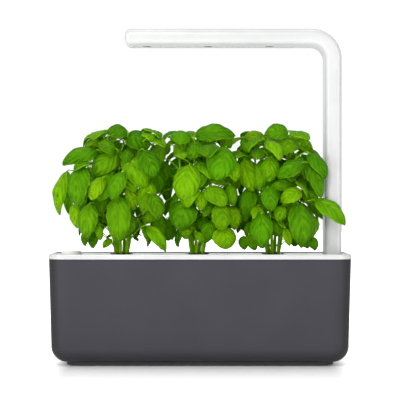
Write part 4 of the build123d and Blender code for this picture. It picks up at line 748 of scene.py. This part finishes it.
def clears_post(marks):
    """Whether a leaf keeps clear of the post, and of its way when it is lifted off."""
    low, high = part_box("extension_tube")
    gap = POST_CLEARANCE
    across = (marks[:, 0] > low[0] - gap) & (marks[:, 0] < high[0] + gap)
    deep = (marks[:, 1] > low[1] - gap) & (marks[:, 1] < high[1] + gap)
    return not (across & deep).any()


def clears_lid(marks, name):
    """Whether a leaf keeps clear of another plant's cup while that is lifted out."""
    low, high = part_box("cup_lid_" + name)
    reach = (high[0] - low[0]) / 2 + LID_CLEARANCE
    over = np.hypot(marks[:, 0] - (low[0] + high[0]) / 2, marks[:, 1]) < reach
    return not (over & (marks[:, 2] < high[2] + CUP_LIFT + LID_CLEARANCE)).any()


def filler_blade(chance, axis_x, soil_z):
    """A leaf somewhere in the bush, hanging outwards."""
    across, deep = chance.uniform(-1, 1), chance.uniform(-1, 1)
    height = chance.uniform(FOLIAGE_LOW, FOLIAGE_HIGH)
    top = (height - FOLIAGE_LOW) / (FOLIAGE_HIGH - FOLIAGE_LOW)
    outer = abs(axis_x) > 0.01 and across * axis_x > 0
    slim = 1 - (OUTER_TAPER if outer else INNER_TAPER) * top**3 - LOW_TAPER * (1 - top) ** 2
    x, y = axis_x + FOLIAGE_REACH * across * slim, FOLIAGE_DEPTH * deep * slim
    middle = np.array([x, y, soil_z + height])
    angle = atan2(deep, across) + chance.uniform(-FILLER_TURN, FILLER_TURN)
    droop = chance.uniform(*FILLER_DROOP) - 0.7 * top
    out = np.array([cos(angle), sin(angle), 0.0])
    length = chance.uniform(*FILLER_LENGTH)
    half = length / 2 * (cos(droop) * out - sin(droop) * UP)
    tilt = chance.uniform(-FILLER_TILT, FILLER_TILT)
    face = sin(droop) * out + cos(droop) * UP + tilt * np.array([-out[1], out[0], 0.0])
    return Blade(middle - half, middle + half, face, length * chance.uniform(*FILLER_BREADTH))


def low_blade(chance, axis_x, soil_z, stem):
    """A small leaf low on a stem."""
    height = chance.uniform(*LOW_HEIGHT)
    foot = stem_point(axis_x, soil_z, stem, height)
    angle = atan2(foot[1], foot[0] - axis_x) + chance.uniform(-1.2, 1.2)
    out = np.array([cos(angle), sin(angle), 0.0])
    length = chance.uniform(*LOW_LENGTH)
    reach = chance.uniform(*LOW_REACH)
    base = foot + out * reach + UP * (0.001 + 0.6 * reach)
    tip = base + length * unit(out + UP * chance.uniform(-0.6, 0.4))
    return Blade(base, tip, UP + 0.4 * out, YOUNG_BREADTH * length)


def bud_blades(axis_x, soil_z, stem, turn):
    """Two crossed pairs of young leaves at a stem's top."""
    top = stem_point(axis_x, soil_z, stem, STEM_HEIGHT)
    blades = []
    for pair, (length, lift) in enumerate(BUD_PAIRS):
        for side in (0, 1):
            angle = turn + pair * pi / 2 + side * pi
            out = np.array([cos(angle), sin(angle), 0.0])
            base = top + out * 0.001 + UP * (0.002 + 0.003 * pair)
            tip = base + length * unit(out + lift * UP)
            blades.append(Blade(base, tip, UP - 0.2 * lift * out, YOUNG_BREADTH * length))
    return blades


# Basil stems

def stem_point(axis_x, soil_z, stem, height):
    """A point on one of a plant's main stems, which spread as they rise."""
    angle = 2 * pi * (stem + 0.25) / STEM_COUNT
    risen = max(0.0, height) / STEM_HEIGHT
    ring = STEM_FOOT_RING + (STEM_TOP_RING - STEM_FOOT_RING) * risen**STEM_SPREAD
    ring *= 1 + 0.25 * sin(3 * stem)
    sway = SWAY * min(1.0, 30 * height) * sin(70 * height + 2 * stem)
    return np.array([axis_x + ring * cos(angle) + sway, ring * sin(angle) - sway, soil_z + height])


def grow_stems(axis_x, soil_z, blades):
    """A plant's main stems, and a curved stalk from the nearest one to each of its leaves."""
    piece = Piece()
    for stem in range(STEM_COUNT):
        heights = np.linspace(0.0, STEM_HEIGHT + 0.004, 26)
        path = [stem_point(axis_x, soil_z, stem, h) for h in heights]
        radii = []
        for h in heights:
            slim = STEM_FOOT_RADIUS + (STEM_TOP_RADIUS - STEM_FOOT_RADIUS) * h / STEM_HEIGHT
            off_knot = ((h % KNOT_STEP) - FIRST_KNOT) / KNOT_LENGTH
            radii.append(slim + KNOT_RADIUS * np.exp(-(off_knot**2)))
        tube(piece, path, radii, 10)
    for blade in blades:
        height = blade.base[2] - soil_z
        options = []
        for stem in range(STEM_COUNT):
            beside = stem_point(axis_x, soil_z, stem, min(height, STEM_HEIGHT))
            reach = np.linalg.norm((blade.base - beside)[:2])
            wanted = max(min(STALK_LOWEST, height), min(height - STALK_RISE * reach, STEM_HEIGHT))
            foot = stem_point(axis_x, soil_z, stem, wanted)
            options.append((np.linalg.norm(blade.base - foot), stem, foot))
        gap, stem, foot = min(options, key=lambda option: option[0])
        out = blade.base - foot
        rise = unit(out + UP * 0.8 * gap)
        middle = blade.base - blade.along * min(0.3 * gap, 0.006)
        path = bezier(foot, foot + rise * 0.4 * gap, middle, blade.at(0.02, 0.0), 9)
        slim = min(1.0, blade.length / 0.022)
        radii = [STALK_RADIUS * slim * (1.25 - 0.4 * t) for t in np.linspace(0, 1, 9)]
        tube(piece, path, radii, 6)
    return piece


class FrontView:
    """Which cells of the view from the front the leaves cover."""

    def __init__(self):
        self.covered = set()

    def cells(self, blade):
        points = blade.marks(15, 13)
        return set(map(tuple, np.round(points[:, ::2] / CELL).astype(int)))

    def gain(self, blade):
        return len(self.cells(blade) - self.covered)

    def cover(self, blade):
        self.covered |= self.cells(blade)


def grow_plants():
    """The three plants: leaves on the CAD leaves' places, leaves that fill the gaps seen from the
    front and then any gap, low leaves, buds and stems."""
    chance = np.random.default_rng(11)
    axes = {name: (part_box("cup_" + name)[0][0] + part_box("cup_" + name)[1][0]) / 2 for name in PLANTS}
    soil_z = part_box("soil_left")[1][2]
    blades = {name: cad_blades(nodes["basil_leaves_" + name]) for name in PLANTS}
    view = FrontView()
    marks = {}
    for name in PLANTS:
        for blade in blades[name]:
            view.cover(blade)
        heights = np.arange(0.004, STEM_HEIGHT, 0.003)
        stems = [stem_point(axes[name], soil_z, stem, h) for stem in range(STEM_COUNT) for h in heights]
        marks[name] = np.concatenate([np.array(stems)] + [blade.marks() for blade in blades[name]])
    for wanted, room in ((FILLER_GAIN, FILLER_LEAVES), (0, FILLER_LEAVES // 3)):
        for name in PLANTS:
            others = [other for other in PLANTS if other != name]
            beside = np.concatenate([marks[other] for other in others])[:, :2]
            added = 0
            for _ in range(FILLER_TRIES // (1 if wanted else 4)):
                blade = filler_blade(chance, axes[name], soil_z)
                if view.gain(blade) < wanted:
                    continue
                spots = blade.marks()
                if not clears_post(spots) or not all(clears_lid(spots, other) for other in others):
                    continue
                if nearest(spots, marks[name]) < LEAF_CLEARANCE:
                    continue
                if nearest(spots[:, :2], beside) < NEIGHBOUR_CLEARANCE:
                    continue
                blades[name].append(blade)
                marks[name] = np.concatenate([marks[name], spots])
                view.cover(blade)
                added += 1
                if added >= room:
                    break
    for name in PLANTS:
        for index in range(LOW_LEAVES):
            blades[name].append(low_blade(chance, axes[name], soil_z, index % STEM_COUNT))
        leaves = Piece()
        for blade in blades[name]:
            facing_for_painted_light = max(0.0, blade.normal[2])
            young = 1.0 if blade.length < YOUNG_LEAF else 0.0
            # Leaves that face up get a higher hue, lighter and yellower: painted light from above
            hue = min(1.0, max(0.0, chance.normal(*LEAF_HUE) + 0.18 * facing_for_painted_light))
            shade = chance.uniform(*LEAF_SHADE)
            age = max(0.0, chance.normal(*LEAF_AGE)) * 0.7 + 0.30 * young
            if blade.length > GROWN_LEAF:
                shade, age = 0.80 * shade, 0.35 * age
            grow_blade(leaves, blade, chance, (hue, shade, min(0.8, age)))
        for stem in range(STEM_COUNT):
            for blade in bud_blades(axes[name], soil_z, stem, chance.uniform(0, pi)):
                grow_blade(leaves, blade, chance, BUD_TINT)
        leaves.build("leaves_" + name, "basil_leaf", "pod_" + name, "basil_leaves_" + name)
        stems = grow_stems(axes[name], soil_z, blades[name])
        stems.build("stems_" + name, "basil_stem", "pod_" + name, "basil_stems_" + name)


# Soil and wicks

def ball(centre, radius, lumpy, seed):
    """An uneven crumb."""
    points, faces = [], []
    rings, sides = 5, 7
    for ring in range(rings + 1):
        tilt = pi * ring / rings
        for k in range(sides):
            turn = 2 * pi * k / sides
            way = Vector((sin(tilt) * cos(turn), sin(tilt) * sin(turn), cos(tilt)))
            if ring in (0, rings) and k:
                continue
            size = radius * (1 + lumpy * noise.noise(1.7 * way + Vector((seed, 0, 0))))
            points.append(np.array(centre) + size * np.array(way))
    last = len(points) - 1

    def number(ring, k):
        return 0 if ring == 0 else last if ring == rings else 1 + (ring - 1) * sides + k % sides

    for ring in range(rings):
        for k in range(sides):
            below = [number(ring + 1, k), number(ring + 1, k + 1)]
            faces.append(list(dict.fromkeys([number(ring, k), *below, number(ring, k + 1)])))
    return points, faces


def fill_cup(name):
    """The soil: a tapered plug with crumbly sides, heaped in the lid's opening."""
    low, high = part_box("soil_" + name)
    middle = np.array([(low[0] + high[0]) / 2, (low[1] + high[1]) / 2, 0.0])
    rim = high[2] - SOIL_RIM_DROP
    chance = np.random.default_rng(len(name))
    profile = [(SOIL_FOOT_RADIUS * share, low[2]) for share in (0.35, 0.7, 1.0)]
    for share in np.linspace(0, 1, SOIL_RINGS + 1)[1:]:
        radius = SOIL_FOOT_RADIUS + share * (SOIL_RIM_RADIUS - SOIL_FOOT_RADIUS)
        profile.append((radius, low[2] + share * (rim - low[2])))
    profile += [(SOIL_RIM_RADIUS - 0.006, rim), (SOIL_CROWN_RADIUS + 0.001, rim)]
    profile.append((SOIL_CROWN_RADIUS, high[2] - 0.0005))
    for share in (0.9, 0.78, 0.64, 0.5, 0.36, 0.22, 0.1):
        profile.append((SOIL_CROWN_RADIUS * share, high[2] - 0.0002))
    sides = SOIL_SIDES
    piece = Piece()
    points = []
    for radius, z in profile:
        for k in range(sides):
            turn = 2 * pi * k / sides
            spot = np.array([radius * cos(turn), radius * sin(turn), z])
            rough = abs(noise.noise(Vector(spot * 350.0))) + 0.5 * abs(noise.noise(Vector(spot * 900.0)))
            shrink = 1 - SOIL_SIDE_GRAIN * rough / max(radius, 0.004)
            drop = SOIL_TOP_GRAIN * rough if z > rim else 0.0
            points.append(middle + np.array([spot[0] * shrink, spot[1] * shrink, z - drop]))
    piece.add(points, ring_faces(len(profile), sides))
    for index in range(CRUMBS):
        angle, share = chance.uniform(0, 2 * pi), sqrt(chance.uniform(0, 1))
        reach = share * (SOIL_CROWN_RADIUS - 0.0016)
        size = chance.uniform(*CRUMB_SIZE)
        place = np.array([reach * cos(angle), reach * sin(angle), high[2] - 0.0003 + 0.2 * size])
        piece.add(*ball(middle + place, size, 0.55, index * 1.37))
    piece.build("soil_fill_" + name, "soil", "pod_" + name, "soil_" + name)


def cut_wick(name):
    """A felt strip with soft edges and a slightly frayed foot."""
    low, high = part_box("wick_" + name)
    x, y = (low[0] + high[0]) / 2, (low[1] + high[1]) / 2
    around, rows = WICK_SIDES, WICK_ROWS
    points = []
    for row in range(rows + 1):
        share = row / rows
        z = high[2] + share * (low[2] - high[2])
        for k in range(around):
            turn = 2 * pi * k / around
            c, s = cos(turn), sin(turn)
            across = WICK_HALF_WIDTH * np.sign(c) * abs(c) ** 0.35
            deep = WICK_HALF_THICKNESS * np.sign(s) * abs(s) ** 0.55
            fuzz = 1 - WICK_FUZZ * abs(noise.noise(Vector((across * 900, deep * 900, z * 900))))
            fray = abs(noise.noise(Vector((across * 700, deep * 700, 3.0))))
            hang = 0.0 if row < rows else WICK_FRAY * fray
            points.append((x + across * fuzz, y + deep * fuzz, z + hang))
    piece = Piece()
    piece.add(points, ring_faces(rows + 1, around, down=True))
    piece.build("wick_felt_" + name, "felt", "pod_" + name, "wick_" + name)


grow_plants()
for name in PLANTS:
    fill_cup(name)
    cut_wick(name)


# Floor, light and camera

def make_floor():
    """The paper that the garden stands on, which only the render shows."""
    corners = ((-1, -1), (1, -1), (1, 1), (-1, 1))
    mesh = bpy.data.meshes.new("floor")
    mesh.from_pydata([(FLOOR_HALF * x, FLOOR_HALF * y, 0) for x, y in corners], [], [(0, 1, 2, 3)])
    mesh.materials.append(floor_skin("studio_floor"))
    floor = bpy.data.objects.new("floor", mesh)
    bpy.context.scene.collection.objects.link(floor)


def make_light(name, place, size, power):
    light = bpy.data.lights.new(name, "AREA")
    light.shape = "RECTANGLE"
    light.size, light.size_y = size
    light.energy = power
    lamp = bpy.data.objects.new(name, light)
    lamp.location = place
    lamp.rotation_euler = (Vector(LIGHT_AIM) - Vector(place)).to_track_quat("-Z", "Y").to_euler()
    bpy.context.scene.collection.objects.link(lamp)


def make_world():
    """White behind everything, and a softer light from it, with dark flags behind on both sides."""
    world = bpy.data.worlds.new("studio")
    world.use_nodes = True
    made = Nodes(world.node_tree)
    white = (1.0, 1.0, 1.0, 1.0)
    seen = made.tree.nodes["Background"]
    seen.inputs["Color"].default_value = white
    seen.inputs["Strength"].default_value = BACKGROUND
    way = made.node("ShaderNodeTexCoord").outputs["Generated"]
    x, y, z = made.node("ShaderNodeSeparateXYZ", {0: way}).outputs
    aside = made.range(made.math("ABSOLUTE", x), *FLAG_ASIDE, 0.0, 1.0)
    back = made.range(y, *FLAG_BACK, 0.0, 1.0)
    low = made.range(z, *FLAG_LOW, 0.0, 1.0)
    flag = made.math("MULTIPLY", made.math("MULTIPLY", aside, back), low)
    around = made.range(flag, 0.0, 1.0, LIGHT_AROUND, LIGHT_FLAGS)
    behind = made.range(y, *BEHIND, 0.0, LIGHT_BEHIND)
    power = made.math("MAXIMUM", around, behind)
    light = made.node("ShaderNodeBackground", {"Color": white, "Strength": power})
    camera_sees = made.node("ShaderNodeLightPath").outputs["Is Camera Ray"]
    sockets = {0: camera_sees, 1: light.outputs[0], 2: seen.outputs[0]}
    both = made.node("ShaderNodeMixShader", sockets).outputs[0]
    made.tree.links.new(both, made.tree.nodes["World Output"].inputs["Surface"])
    bpy.context.scene.world = world


def make_camera():
    camera = bpy.data.cameras.new("camera")
    camera.lens = CAMERA_LENS
    camera.sensor_width = 36.0
    camera.clip_end = 100.0
    stand = bpy.data.objects.new("camera", camera)
    stand.location = CAMERA_PLACE
    stand.rotation_euler = (radians(90), 0.0, 0.0)
    bpy.context.scene.collection.objects.link(stand)
    bpy.context.scene.camera = stand


make_floor()
make_world()
for name, (place, size, power) in LIGHTS.items():
    make_light(name, place, size, power)
make_camera()
bpy.context.scene.view_settings.view_transform = "Standard"
